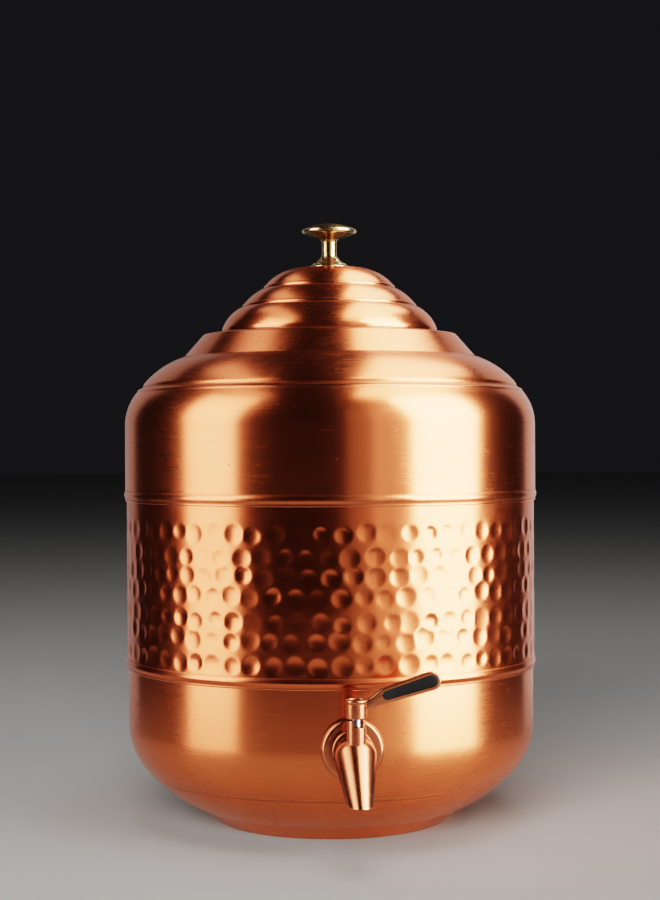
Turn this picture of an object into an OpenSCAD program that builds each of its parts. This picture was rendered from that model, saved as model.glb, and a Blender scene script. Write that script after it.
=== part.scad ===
// Copper water dispenser: a drum built from three telescoped sheet shells on a
// soldered foot, with a stepped lift-off lid and a quarter-turn lever tap.
// Millimetres, +Z up. The floor is z = 0, the drum's axis is x = y = 0 and the
// tap points along -Y. It is drawn with the lid on and the tap closed.

/* [Vessel] */
// Outside radius of the shoulder shell, the widest sheet
body_r = 140; // [118:1:170]
// Thickness of the copper sheet
sheet_t = 1; // [0.7:0.1:1.3]
// Height of the base pan's straight wall, up to the lower seam
pan_wall_h = 38; // [31:0.5:60]
// Height of the hammered band between its two seams
band_h = 112.7; // [80:0.1:140]
// Height of the shoulder's straight wall above the upper seam
shoulder_wall_h = 51.3; // [40:0.1:65]
// How far each lower sheet reaches up inside the sheet above it
lap_h = 10; // [8:0.5:14]
// Height of each swaged bead above the edge of its sheet
bead_rise = 4.4; // [4:0.1:6]
// Radius of a bead's round section
bead_round_r = 4.8; // [4:0.1:6]
// How far each bead stands proud
bead_h = 0.7; // [0.4:0.1:1]

/* [Base and foot] */
// Radius of the turn from the wall into the base
base_turn_r = 44.5; // [36:0.5:50]
// Slope at which that turn ends, in degrees from upright
base_turn_a = 48; // [42:1:52]
// Radius of the shallow dish below the crease
dish_r = 100; // [80:1:105]
// Slope at which the dish starts
dish_start_a = 43; // [38:1:46]
// Slope at which the dish ends
dish_end_a = 65; // [60:1:70]
// Radius of the corner between the dish and the floor plate
floor_corner_r = 8; // [5:0.5:12]
// Height of the floor plate's underside
floor_z = 9.75; // [7:0.25:14]
// Width of the foot ring where it is soldered on
foot_top_w = 4.2; // [3:0.1:6]
// Slope of the foot ring's side
foot_a = 50; // [35:1:55]
// Radius of the foot's bottom edge
foot_edge_r = 2.4; // [1.5:0.1:3]
// Width of the flat ring that the drum stands on
foot_flat_w = 1.6; // [1:0.1:3]

/* [Shoulder and neck] */
// Radius of the turn from the wall into the shoulder
shoulder_turn_r = 35; // [28:0.5:42]
// Slope at which that turn ends
shoulder_turn_a = 45; // [40:1:50]
// Slope at which the dome starts
dome_start_a = 36; // [32:1:40]
// Slope at which the dome meets the neck
dome_end_a = 72; // [68:1:75]
// How far the neck is tucked in below the dome
neck_tuck_h = 4.5; // [3:0.5:8]
// Height of the neck's sloping side above the dome
neck_rise = 14.2; // [10:0.1:20]
// Slope of the neck's side
neck_a = 41; // [36:1:45]
// Radius of the neck's outer edge
neck_edge_r = 3; // [2:0.1:4]
// Slope of the neck's top, where the lid sits
land_a = 82; // [80:1:86]
// Width of the neck's top, from the mouth's roll to the neck's edge
land_w = 12.8; // [8:0.1:18]
// Thickness of the neck sheet
neck_t = 1.2; // [0.9:0.1:1.5]
// Radius of the mouth, inside the turned-down lip
mouth_r = 70; // [58:0.5:74]
// Radius of the roll at the mouth
lip_roll_r = 2.2; // [1.8:0.1:3]
// Length of the turned-down lip
lip_h = 10; // [6:0.5:14]

/* [Lid] */
// Thickness of the lid sheet
lid_t = 0.9; // [0.7:0.1:1.2]
// How far the lid's rim reaches out past the mouth
lid_overhang = 3.6; // [3.2:0.1:6]
// Height of the upright rim below the first step
lid_rim_h = 1.8; // [1.2:0.1:3]
// Gap between the lid and the neck it sits on
seat_gap = 0.15; // [0.05:0.05:0.4]
// Lowest step of the lid: radius of its curve
step_1_r = 26.7; // [22:0.1:32]
// Middle step of the lid: radius of its curve
step_2_r = 37.5; // [31:0.1:45]
// Slope at which the lowest step starts, from upright
step_1_a = 19; // [10:1:30]
// Slope at which the middle and top steps start
step_2_a = 34; // [28:1:40]
// Slope at which the lowest and middle steps end
step_end_a = 64; // [58:1:70]
// Radius of the lid's flat top, which the knob stands on
lid_top_r = 19.5; // [17:0.5:24]
// Depth of the collar that drops into the mouth
collar_h = 13; // [8:0.5:18]
// Gap between that collar and the mouth
collar_gap = 0.8; // [0.4:0.1:1.5]

/* [Knob] */
// Radius of the knob's disc
knob_r = 18.8; // [15:0.1:24]
// Radius of the knob's stem
knob_stem_r = 5; // [4:0.1:7]
// Height of the knob above the lid
knob_h = 30.6; // [26:0.1:40]
// Radius of the flared rose under the knob
rose_r = 14; // [11:0.1:17]
// Height of the flared rose
rose_h = 8; // [6:0.1:11]
// Radius of the screw that holds the knob
knob_screw_r = 2.5; // [2:0.1:3]

/* [Tap body] */
// Height of the tap's shank above the foot of the pan's straight wall
tap_rise = 2.3; // [0:0.1:12]
// Radius of the round flange
flange_r = 19.5; // [17:0.1:24]
// Thickness of the flange
flange_t = 3.6; // [2.5:0.1:5]
// Thinnest part of the rubber gasket behind the flange
gasket_t = 1.5; // [1:0.1:3]
// How far that gasket stays inside the flange's edge
gasket_inset = 0.7; // [0.4:0.1:3]
// Radius of the tap's barrel
barrel_r = 12.1; // [11.4:0.1:12.5]
// Radius of the round bulb that holds the valve
bulb_r = 13; // [12.6:0.1:15]
// Length of barrel that shows between the flange and the bulb
barrel_l = 2; // [1.8:0.1:8]
// How far the bulb's centre hangs below the shank
bulb_drop = 1.7; // [0:0.1:3]
// Slope of the spout below level
spout_a = 41.6; // [38:0.1:50]
// Radius of the spout at its outlet
spout_end_r = 7.3; // [6.8:0.1:9]
// Thickness of the spout's wall at its outlet
spout_wall = 2.1; // [1.5:0.1:2.8]
// Drop from the shank to the flat cut of the outlet
outlet_drop = 26; // [24:0.1:32]
// Radius of the threaded shank
shank_r = 8; // [7:0.1:9]
// Bore through the shank
shank_bore_r = 4.5; // [3.5:0.1:5]
// Length of the shank behind the flange
shank_l = 24; // [22:1:30]
// Pitch of the shank's thread
thread_pitch = 2; // [1.5:0.5:2]

/* [Valve] */
// Distance from the bulb's centre forward to the stem's axis
stem_reach = 4; // [3:0.1:5]
// Radius of the valve plug
plug_r = 5.2; // [4.6:0.1:5.4]
// Running clearance of everything that turns
run_gap = 0.05; // [0.02:0.01:0.09]
// Radius of the port through the plug
port_r = 2.8; // [2:0.1:3.2]
// Radius of the valve stem
stem_r = 3; // [2.6:0.1:3.2]
// How far the bonnet reaches out past the plug that it holds down
bonnet_lip = 0.8; // [0.7:0.1:1.2]
// Height of the bonnet's top above the shank
bonnet_top = 21.4; // [19:0.1:26]
// Thickness of the rubber of the stem's sealing rings
oring_r = 0.6; // [0.5:0.05:0.7]

/* [Lever] */
// Height of the dark gap between the bonnet and the hub
hub_gap = 1; // [0.5:0.1:2]
// Radius of the hub
hub_r = 6.5; // [6.2:0.1:7.5]
// Height of the hub
hub_h = 11.3; // [10.8:0.1:14]
// Angle that the lever turns
lever_turn = 90; // [60:1:100]
// Depth of the slot in the bonnet that stops the lever
slot_h = 4; // [3:0.1:5]
// Distance from the stem to the tip of the lever
lever_l = 51.4; // [42:0.1:65]
// Distance from the stem to the middle of the paddle's round root
lever_root_l = 18.6; // [16:0.1:22]
// Slope of the lever
lever_a = 16.5; // [12:0.1:22]
// Thickness of the lever
lever_t = 4.6; // [4:0.1:6]
// Half height of the lever at its tip
lever_tip_r = 5.7; // [5:0.1:7]
// Half height of the lever at its root
lever_root_r = 4.7; // [4:0.1:5]
// Width of the metal rim around the black pad
pad_rim = 1.4; // [1:0.1:2]
// Depth of the pocket that holds the pad
pad_depth = 1.6; // [1:0.1:1.8]
// How far the pad stands proud of the lever
pad_proud = 0.3; // [0.1:0.1:0.6]

/* [Hidden] */
$fn = 96;

copper = "#b8633a";
hammered_copper = "#a8552f";
tap_copper = "#c77a4c";
brass = "#c9a04e";
steel = "#c4c7ca";
rubber = "#1c1c1c";

arc_n = 8;                              // straight facets in each long turn
corner_n = 4;                           // straight facets in each small corner

band_r = body_r - sheet_t;              // each sheet fits inside the next one up
base_r = band_r - sheet_t;

// Unit vector at an angle from level, and turns of a sheet along an outline.
// A turn starts at p on the outside face and d is the depth below that face.
function unit(a) = [cos(a), sin(a)];
function turn_end(p, r, a1, a2) = p + r * (unit(a2) - unit(a1));
function turn(p, r, a1, a2, d, n) =
    [for (i = [0:n]) p - r * unit(a1) + (r - d) * unit(a1 + (a2 - a1) * i / n)];
function flip(pts) = [for (i = [len(pts) - 1:-1:0]) pts[i]];

// Base: wall, turn, dish and corner, from the top down.
dish_drop = dish_r * (sin(dish_end_a) - sin(dish_start_a));
turn_drop = base_turn_r * sin(base_turn_a);
corner_drop = floor_corner_r * (1 - sin(dish_end_a));
base_turn_z = floor_z + corner_drop + dish_drop + turn_drop;
low_seam_z = base_turn_z + pan_wall_h;  // bottom edge of the band's sheet
high_seam_z = low_seam_z + band_h;      // bottom edge of the shoulder's sheet
base_top_z = low_seam_z + lap_h;
base_p0 = [base_r, base_turn_z];
base_p1 = turn_end(base_p0, base_turn_r, 0, -base_turn_a);
base_p2 = turn_end(base_p1, dish_r, -dish_start_a, -dish_end_a);
base_p3 = turn_end(base_p2, floor_corner_r, -dish_end_a, -90);
function base_face(d) = concat(
    [[base_r - d, base_top_z]],
    turn(base_p0, base_turn_r, 0, -base_turn_a, d, arc_n),
    turn(base_p1, dish_r, -dish_start_a, -dish_end_a, d, arc_n),
    turn(base_p2, floor_corner_r, -dish_end_a, -90, d, corner_n),
    [[0, floor_z + d]]);

// Shoulder: wall, turn and dome, from the bottom up. The dome spans whatever is
// left between the turn and the neck.
roll_r = mouth_r + lip_roll_r * (1 + cos(land_a));
neck_r = roll_r + land_w;
dome_foot_r = neck_r + neck_edge_r * (cos(neck_a) - cos(land_a)) + neck_rise * tan(neck_a);
top_p0 = [body_r, high_seam_z + shoulder_wall_h];
top_p1 = turn_end(top_p0, shoulder_turn_r, 0, shoulder_turn_a);
dome_r = (top_p1[0] - dome_foot_r) / (cos(dome_start_a) - cos(dome_end_a));
top_p2 = turn_end(top_p1, dome_r, dome_start_a, dome_end_a);

// Neck: a cone through the end of the dome, a rounded edge, a land and a lip.
neck_p0 = top_p2 + neck_tuck_h * [tan(neck_a), -1];
neck_p1 = top_p2 + neck_rise * [-tan(neck_a), 1];
neck_p2 = turn_end(neck_p1, neck_edge_r, neck_a, land_a);
neck_p3 = [roll_r, neck_p2[1] + land_w / tan(land_a)];
neck_p4 = turn_end(neck_p3, lip_roll_r, land_a, 180);
function neck_face(d) = concat(
    [neck_p0 - d * unit(neck_a)],
    turn(neck_p1, neck_edge_r, neck_a, land_a, d, corner_n),
    turn(neck_p3, lip_roll_r, land_a, 180, d, corner_n),
    [[mouth_r + d, neck_p4[1] - lip_h]]);

// Lid: an upright rim and three steps, from the rim up to the flat top.
lid_r = mouth_r + lid_overhang;
lid_z = neck_p3[1] + (roll_r - lid_r + lid_t) / tan(land_a) + seat_gap;
lid_p0 = [lid_r, lid_z + lid_rim_h];
lid_p1 = turn_end(lid_p0, step_1_r, step_1_a, step_end_a);
lid_p2 = turn_end(lid_p1, step_2_r, step_2_a, step_end_a);
step_3_r = (lid_p2[0] - lid_top_r) / cos(step_2_a);
lid_top_z = turn_end(lid_p2, step_3_r, step_2_a, 90)[1];
function lid_face(d) = concat(
    [[lid_r - d, lid_z]],
    turn(lid_p0, step_1_r, step_1_a, step_end_a, d, arc_n),
    turn(lid_p1, step_2_r, step_2_a, step_end_a, d, arc_n),
    turn(lid_p2, step_3_r, step_2_a, 90, d, arc_n),
    [[0, lid_top_z - d]]);

// Tap: distances along -Y from the drum's axis, and heights above the floor.
tap_z = base_turn_z + tap_rise;
flange_y = base_r + gasket_t;
barrel_y = flange_y + flange_t;
bulb_y = barrel_y + barrel_l + bulb_r;
bulb_z = tap_z - bulb_drop;
stem_y = bulb_y + stem_reach;
outlet_z = tap_z - outlet_drop;
shank_root_r = shank_r - 0.6 * thread_pitch;
screwed_l = 8;                          // length of shank screwed into the barrel
gasket_seat = 3.5;                      // from the inside of the wall to the washer
washer_t = 1.5;
inner_seat_y = base_r - sheet_t - gasket_seat;
spout_l = outlet_drop / sin(spout_a);
spout_bore_r = spout_end_r - spout_wall;
taper_a = asin((bulb_r - spout_end_r) / spout_l);
cone_l = 1.5 * spout_l;                 // long enough to pass the flat cut all round

// Valve: a plug in its chamber, held down by the bonnet.
chamber_r = plug_r + run_gap;
chamber_z = bulb_z - 9.2;
bonnet_r = plug_r + bonnet_lip;
bonnet_z = tap_z + 2.7;
bonnet_top_z = tap_z + bonnet_top;
link_r = port_r + 0.2;                  // passages beside the plug
stem_bore_r = stem_r + run_gap;
seal_bore_r = stem_r + 2 * oring_r + run_gap;
seal_h = 3.4;                           // depth of the recess for two sealing rings
slot_z = bonnet_top_z - slot_h;
throat_r = stem_r + 1.4;                // widened bore that the slot opens into

// Lever: the hub stands on the stem and its lug runs in the bonnet's slot.
hub_z = bonnet_top_z + hub_gap;
hub_top_z = hub_z + hub_h;
square_w = 1.4 * stem_r;
square_h = 4.6;
web_t = 1.5;                            // hub wall that the screw pulls down on
screw_seat_z = hub_z + square_h + 0.2 + web_t;
screw_r = 1.5;
screw_head_r = 2.8;
cap_t = 1.2;
cap_r = hub_r - 1;
cap_z = hub_top_z - cap_t - 0.4;
lug_half_a = 12;
stop_gap_a = 3;
lug_gap = 0.5;                          // between the lug and the slot's floor
root_p = [lever_root_l, hub_top_z + 2.6];
tip_p = root_p + (lever_l - lever_tip_r - lever_root_l) * [1, tan(lever_a)];
pad_tip_r = lever_tip_r - pad_rim;
pad_root_r = lever_root_r - pad_rim;

// Solid of revolution about the drum's axis from an outside and an inside face.
module sheet(outside, inside) {
    rotate_extrude() polygon(concat(outside, flip(inside)));
}

// Places things along the tap: local +Z runs outward along -Y from the axis.
module along_tap(y) {
    translate([0, -y, tap_z]) rotate([90, 0, 0]) children();
}

// Points of a swaged bead on a wall of radius r, from its foot to its head.
bead_half_a = acos(1 - bead_h / bead_round_r);
function bead(r, z) = [for (i = [-corner_n:corner_n])
    [r + bead_h - bead_round_r, z] + bead_round_r * unit(i * bead_half_a / corner_n)];

// Flat wedge between two angles, for slots and lugs.
module wedge(r, a1, a2, h) {
    steps = 12;
    arc = [for (i = [0:steps]) r * unit(a1 + (a2 - a1) * i / steps)];
    linear_extrude(h) polygon(concat([[0, 0]], arc));
}

// Outline around two circles of different radii: the lever's and the pad's.
module paddle(p1, r1, p2, r2) {
    run = p2 - p1;
    a = atan2(run[1], run[0]);
    lean = 90 + asin((r2 - r1) / norm(run));
    translate(p1) circle(r1);
    translate(p2) circle(r2);
    polygon([p1 + r1 * unit(a + lean), p1 + r1 * unit(a - lean),
             p2 + r2 * unit(a - lean), p2 + r2 * unit(a + lean)]);
}

// Stands an outline in x and z up as a plate of thickness t, front face at y.
module upright(y, t) {
    translate([0, y + t, 0]) rotate([90, 0, 0]) linear_extrude(t) children();
}

// Solid filled out to the outside, or only to the inside, of the base. It is
// drawn finer than the rest, because thin gaskets are cut by it.
module base_fill(d) {
    rotate_extrude($fn = 480) polygon(concat(base_face(d), [[0, base_top_z]]));
}

// ---- Drum ----

module base_pan() {
    color(copper) difference() {
        sheet(base_face(0), base_face(sheet_t));
        along_tap(base_r - 20) cylinder(h = 40, r = shank_r + 0.25);
    }
}

module foot_ring() {
    top_r = base_p3[0] + 0.4;
    edge_p = [top_r - (floor_z - foot_edge_r * (1 - sin(foot_a))) * tan(foot_a),
              foot_edge_r * (1 - sin(foot_a))];
    edge_c = edge_p + foot_edge_r * [-cos(foot_a), sin(foot_a)];
    flat_r = edge_c[0] - foot_flat_w;
    heel_r = 0.8;
    color(copper) rotate_extrude() polygon(concat(
        [[top_r, floor_z], edge_p],
        turn(edge_p, foot_edge_r, -foot_a, -90, 0, corner_n),
        turn([flat_r, 0], heel_r, -90, -180, 0, corner_n),
        [[flat_r - heel_r, foot_edge_r], [top_r - foot_top_w, floor_z]]));
}

module hammered_band() {
    top_z = high_seam_z + lap_h;
    color(hammered_copper) sheet(
        concat([[band_r, low_seam_z]], bead(band_r, low_seam_z + bead_rise), [[band_r, top_z]]),
        [[band_r - sheet_t, low_seam_z], [band_r - sheet_t, top_z]]);
}

module shoulder_shell() {
    function face(d) = concat(
        turn(top_p0, shoulder_turn_r, 0, shoulder_turn_a, d, arc_n),
        turn(top_p1, dome_r, dome_start_a, dome_end_a, d, arc_n),
        [turn_end(top_p1, dome_r, dome_start_a, dome_end_a) - d * unit(dome_end_a)
         + 6 * [-sin(dome_end_a), cos(dome_end_a)]]);
    color(copper) difference() {
        sheet(concat([[body_r, high_seam_z]], bead(body_r, high_seam_z + bead_rise), face(0)),
              concat([[body_r - sheet_t, high_seam_z]], face(sheet_t)));
        rotate_extrude() polygon(concat(neck_face(0), [[0, neck_p4[1] - lip_h], [0, neck_p0[1]]]));
    }
}

module neck_collar() {
    color(copper) sheet(neck_face(0), neck_face(neck_t));
}

// ---- Lid ----

module lid_shell() {
    color(copper) difference() {
        sheet(lid_face(0), lid_face(lid_t));
        cylinder(h = lid_top_z + 1, r = knob_screw_r);
    }
}

// The collar is a flanged ring: the flange is soldered under the lid's rim.
module lid_collar() {
    r = mouth_r - collar_gap;
    flange_z = lid_z + 0.9;
    color(copper) rotate_extrude() polygon([
        [lid_r - lid_t, flange_z], [lid_r - lid_t, flange_z + lid_t],
        [r - lid_t, flange_z + lid_t], [r - lid_t, flange_z - collar_h],
        [r, flange_z - collar_h], [r, flange_z]]);
}

module knob_rose() {
    lip_h = 1.2;
    color(brass) translate([0, 0, lid_top_z]) difference() {
        rotate_extrude() polygon([
            [0, 0], [rose_r, 0], [rose_r, lip_h], [0.84 * rose_r, 0.3 * rose_h],
            [0.78 * rose_r, 0.42 * rose_h], [0.62 * rose_r, 0.5 * rose_h],
            [0.57 * rose_r, 0.62 * rose_h], [knob_stem_r + 1.1, 0.82 * rose_h],
            [knob_stem_r + 0.8, rose_h], [0, rose_h]]);
        translate([0, 0, -1]) cylinder(h = rose_h + 2, r = knob_screw_r);
    }
}

module knob() {
    stem_top = knob_h - 11.4;
    rim_low = knob_h - 7.2;
    rim_high = knob_h - 4.6;
    crown_r = 42;
    crown_c = knob_h - crown_r;
    edge_a = acos((knob_r - 0.8) / crown_r);
    color(brass) translate([0, 0, lid_top_z]) difference() {
        rotate_extrude() polygon(concat(
            [[0, rose_h], [knob_stem_r + 0.4, rose_h], [knob_stem_r, rose_h + 1.2],
             [knob_stem_r, stem_top - 1.5], [knob_stem_r + 0.8, stem_top],
             [knob_stem_r + 5, stem_top + 1.3], [knob_r - 1.2, rim_low], [knob_r, rim_low + 0.9],
             [knob_r, rim_high]],
            [for (i = [0:arc_n]) [0, crown_c] + crown_r * unit(edge_a + (90 - edge_a) * i / arc_n)]));
        translate([0, 0, rose_h - 1]) cylinder(h = 12, r = knob_screw_r);
    }
}

module knob_screw() {
    head_h = 3;
    head_z = lid_top_z - lid_t - 1.2 - head_h;
    slot_w = 1.2;
    color(steel) difference() {
        union() {
            translate([0, 0, head_z]) cylinder(h = head_h, r = 2 * knob_screw_r);
            translate([0, 0, head_z]) cylinder(h = lid_top_z + rose_h + 9 - head_z, r = knob_screw_r);
        }
        translate([-3 * knob_screw_r, -slot_w / 2, head_z - 1]) cube([6 * knob_screw_r, slot_w, 2.2]);
    }
}

module knob_washer() {
    color(steel) translate([0, 0, lid_top_z - lid_t - 1.2]) difference() {
        cylinder(h = 1.2, r = 3.2 * knob_screw_r);
        translate([0, 0, -1]) cylinder(h = 4, r = knob_screw_r);
    }
}

// ---- Tap, fixed pieces ----

module tap_flange() {
    bevel = 2.2;
    color(tap_copper) along_tap(flange_y) difference() {
        rotate_extrude() polygon([
            [0, 0], [flange_r, 0], [flange_r, 1.2], [flange_r - bevel, flange_t], [0, flange_t]]);
        translate([0, 0, -1]) cylinder(h = flange_t + 2, r = shank_r);
    }
}

module outer_gasket() {
    depth = base_turn_r / 2;            // enough to meet the wall where it turns in
    color(rubber) difference() {
        along_tap(base_r - depth) difference() {
            cylinder(h = depth + gasket_t, r = flange_r - gasket_inset);
            translate([0, 0, -1]) cylinder(h = depth + gasket_t + 2, r = shank_r);
        }
        base_fill(0);
    }
}

module inner_gasket() {
    color(rubber) intersection() {
        along_tap(inner_seat_y) difference() {
            cylinder(h = 2 * gasket_seat, r = shank_r + 7);
            translate([0, 0, -1]) cylinder(h = 2 * gasket_seat + 2, r = shank_r);
        }
        base_fill(sheet_t);
    }
}

module shank_washer() {
    color(steel) along_tap(inner_seat_y - washer_t) difference() {
        cylinder(h = washer_t, r = shank_r + 6);
        translate([0, 0, -1]) cylinder(h = washer_t + 2, r = shank_r + 0.2);
    }
}

module shank_nut() {
    nut_t = shank_r;
    flats = 2.75 * shank_r;
    color(brass) along_tap(inner_seat_y - washer_t - nut_t) difference() {
        cylinder(h = nut_t, r = flats / 2 / cos(30), $fn = 6);
        translate([0, 0, -1]) cylinder(h = nut_t + 2, r = shank_r + 0.02);
    }
}

// The thread is drawn as rings, one for each pitch.
module tap_shank() {
    turns = floor((shank_l - gasket_t) / thread_pitch);
    collar_z = turns * thread_pitch;
    step_z = shank_l + flange_t;
    end_z = step_z + screwed_l;
    ridges = [for (i = [0:turns - 1], p = [[shank_root_r, 0], [shank_r, 0.35], [shank_r, 0.65]])
        [p[0], (i + p[1]) * thread_pitch]];
    color(brass) along_tap(flange_y - shank_l) difference() {
        rotate_extrude() polygon(concat(
            [[0, 0]], ridges,
            [[shank_root_r, collar_z], [shank_r, collar_z], [shank_r, step_z],
             [shank_root_r, step_z], [shank_root_r, end_z], [0, end_z]]));
        translate([0, 0, -1]) cylinder(h = end_z + 2, r = shank_bore_r);
    }
}

// Moves the spout's own axis, local +Z, into place: down the slope from the bulb.
module along_spout() {
    translate([0, -bulb_y, bulb_z]) rotate([90 + spout_a, 0, 0]) children();
}

module tap_body() {
    cut_w = 4 * bulb_r;
    bulb_n = 20;
    spout_tip_r = bulb_r * cos(taper_a) - (cone_l - bulb_r * sin(taper_a)) * tan(taper_a);
    color(tap_copper) difference() {
        union() {
            along_tap(barrel_y) cylinder(h = barrel_l + bulb_r, r = barrel_r);
            along_tap(barrel_y) cylinder(h = 1.4, r = barrel_r + 0.8);
            along_spout() rotate_extrude() polygon(concat(
                [for (i = [0:bulb_n]) let(a = -90 + (90 + taper_a) * i / bulb_n) bulb_r * unit(a)],
                [[spout_tip_r, cone_l], [0, cone_l]]));
        }
        translate([-cut_w / 2, -bulb_y - cut_w, outlet_z - cut_w]) cube(cut_w);
        along_tap(barrel_y - 1) cylinder(h = screwed_l + 1, r = shank_root_r);
        along_tap(barrel_y) cylinder(h = screwed_l + 3, r = shank_bore_r);
        translate([0, -stem_y, bulb_z]) rotate([-90, 0, 0]) cylinder(h = bulb_r, r = link_r);
        translate([0, -stem_y, bulb_z]) rotate([90 + spout_a, 0, 0]) cylinder(h = 18, r = link_r);
        along_spout() translate([0, 0, 14]) cylinder(h = cone_l, r = spout_bore_r);
        translate([0, -stem_y, chamber_z]) cylinder(h = 40, r = chamber_r);
        translate([0, -stem_y, bonnet_z]) cylinder(h = 40, r = bonnet_r);
    }
}

module bonnet() {
    slot_a1 = -lever_turn - lug_half_a - stop_gap_a;
    slot_a2 = lug_half_a + stop_gap_a;
    color(tap_copper) translate([0, -stem_y, 0]) difference() {
        translate([0, 0, bonnet_z]) cylinder(h = bonnet_top_z - bonnet_z, r = bonnet_r);
        translate([0, 0, bonnet_z - 1]) cylinder(h = 40, r = stem_bore_r);
        translate([0, 0, bonnet_z - 1]) cylinder(h = seal_h + 1, r = seal_bore_r);
        translate([0, 0, slot_z - 1.5]) cylinder(h = 20, r = throat_r);
        translate([0, 0, slot_z]) wedge(2 * bonnet_r, slot_a1, slot_a2, 20);
    }
}

// ---- Tap, turning pieces ----

// At rest the plug's port lies across the tap, so no water passes. Turned with
// the lever it lines up with the shank behind it and the spout in front.
module valve_plug() {
    plug_top = bonnet_z - run_gap;
    stem_top = hub_z + square_h;
    color(steel) translate([0, -stem_y, 0]) difference() {
        union() {
            translate([0, 0, chamber_z + 0.3]) cylinder(h = plug_top - chamber_z - 0.3, r = plug_r);
            translate([0, 0, plug_top]) cylinder(h = hub_z - plug_top, r = stem_r);
            translate([-square_w / 2, -square_w / 2, hub_z]) cube([square_w, square_w, square_h]);
        }
        rotate([0, 0, lever_turn]) {
            translate([0, 0, bulb_z]) rotate([-90, 0, 0]) cylinder(h = 2 * plug_r, r = port_r);
            translate([0, 0, bulb_z]) rotate([90 + spout_a, 0, 0]) cylinder(h = 3 * plug_r, r = port_r);
            translate([0, 0, bulb_z]) sphere(port_r);
        }
        translate([0, 0, stem_top - 8]) cylinder(h = 10, r = screw_r);
    }
}

module stem_orings() {
    pitch = seal_h / 2;
    color(rubber) translate([0, -stem_y, bonnet_z + pitch / 2])
        for (i = [0, 1]) translate([0, 0, i * pitch])
            rotate_extrude() translate([stem_r + oring_r, 0]) circle(oring_r, $fn = 24);
}

module lever_handle() {
    lip_h = 1.4;
    lip_out = 0.35;
    root_lean = 2.6;
    color(tap_copper) translate([0, -stem_y, 0]) difference() {
        union() {
            translate([0, 0, hub_z]) rotate_extrude() polygon([
                [0, 0], [hub_r - 0.4, 0], [hub_r - 0.1, 0.4], [hub_r, hub_h - lip_h - 0.5],
                [hub_r + lip_out, hub_h - lip_h], [hub_r + lip_out, hub_h - 0.3],
                [hub_r + lip_out - 0.3, hub_h], [0, hub_h]]);
            upright(-lever_t / 2, lever_t) {
                paddle(root_p, lever_root_r, tip_p, lever_tip_r);
                polygon([[0, hub_top_z - 5.8], [hub_r + 0.5, hub_top_z - 5.6],
                         root_p + lever_root_r * unit(lever_a - 90),
                         root_p + lever_root_r * unit(lever_a + 90 + root_lean),
                         root_p + [-4.5, 3.1],
                         [hub_r + 0.6, hub_top_z], [0, hub_top_z]]);
            }
            translate([0, 0, hub_z - slot_h - hub_gap + lug_gap]) intersection() {
                wedge(2 * bonnet_r, -lug_half_a, lug_half_a, slot_h + hub_gap);
                difference() {
                    cylinder(h = 30, r = bonnet_r - 0.1);
                    translate([0, 0, -1]) cylinder(h = 32, r = throat_r);
                }
            }
        }
        upright(-lever_t / 2 - 1, 1 + pad_depth) paddle(root_p, pad_root_r, tip_p, pad_tip_r);
        translate([-square_w / 2, -square_w / 2, hub_z - 1]) cube([square_w, square_w, square_h + 1.2]);
        translate([0, 0, hub_z]) cylinder(h = hub_h, r = screw_r);
        translate([0, 0, screw_seat_z]) cylinder(h = hub_h, r = screw_head_r + 0.4);
        translate([0, 0, cap_z]) cylinder(h = hub_h, r = cap_r);
    }
}

module lever_pad() {
    color(rubber) translate([0, -stem_y, 0])
        upright(-lever_t / 2 - pad_proud, pad_depth + pad_proud)
            paddle(root_p, pad_root_r, tip_p, pad_tip_r);
}

module handle_screw() {
    screw_l = 8;
    color(steel) translate([0, -stem_y, screw_seat_z]) difference() {
        union() {
            translate([0, 0, -screw_l]) cylinder(h = screw_l, r = screw_r);
            cylinder(h = 1.8, r = screw_head_r);
        }
        translate([0, 0, 0.8]) cylinder(h = 5, r = 1.3, $fn = 6);
    }
}

module hub_cap() {
    dish_h = 0.4;
    dish = [for (i = [0:arc_n]) let(r = cap_r * i / arc_n)
        [r, cap_t - dish_h * (1 - pow(r / cap_r, 2))]];
    color(tap_copper) translate([0, -stem_y, cap_z])
        rotate_extrude() polygon(concat([[0, 0]], dish, [[cap_r, 0]]));
}

base_pan();
foot_ring();
hammered_band();
shoulder_shell();
neck_collar();
tap_flange();
outer_gasket();
inner_gasket();
shank_washer();
shank_nut();
tap_shank();
tap_body();
bonnet();
valve_plug();
stem_orings();
lever_handle();
lever_pad();
handle_screw();
hub_cap();
lid_shell();
lid_collar();
knob_rose();
knob();
knob_screw();
knob_washer();
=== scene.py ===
# Copper water dispenser: a spun drum on a soldered foot, a band of hammered dents, a stepped
# lift-off lid with a brass knob, and a lever tap. Metres; the drum's axis is X = Y = 0, the
# floor is Z = 0 and the tap points along -Y.
import math

import bmesh
import bpy
import numpy as np
from mathutils import Euler, Matrix, Vector


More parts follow.
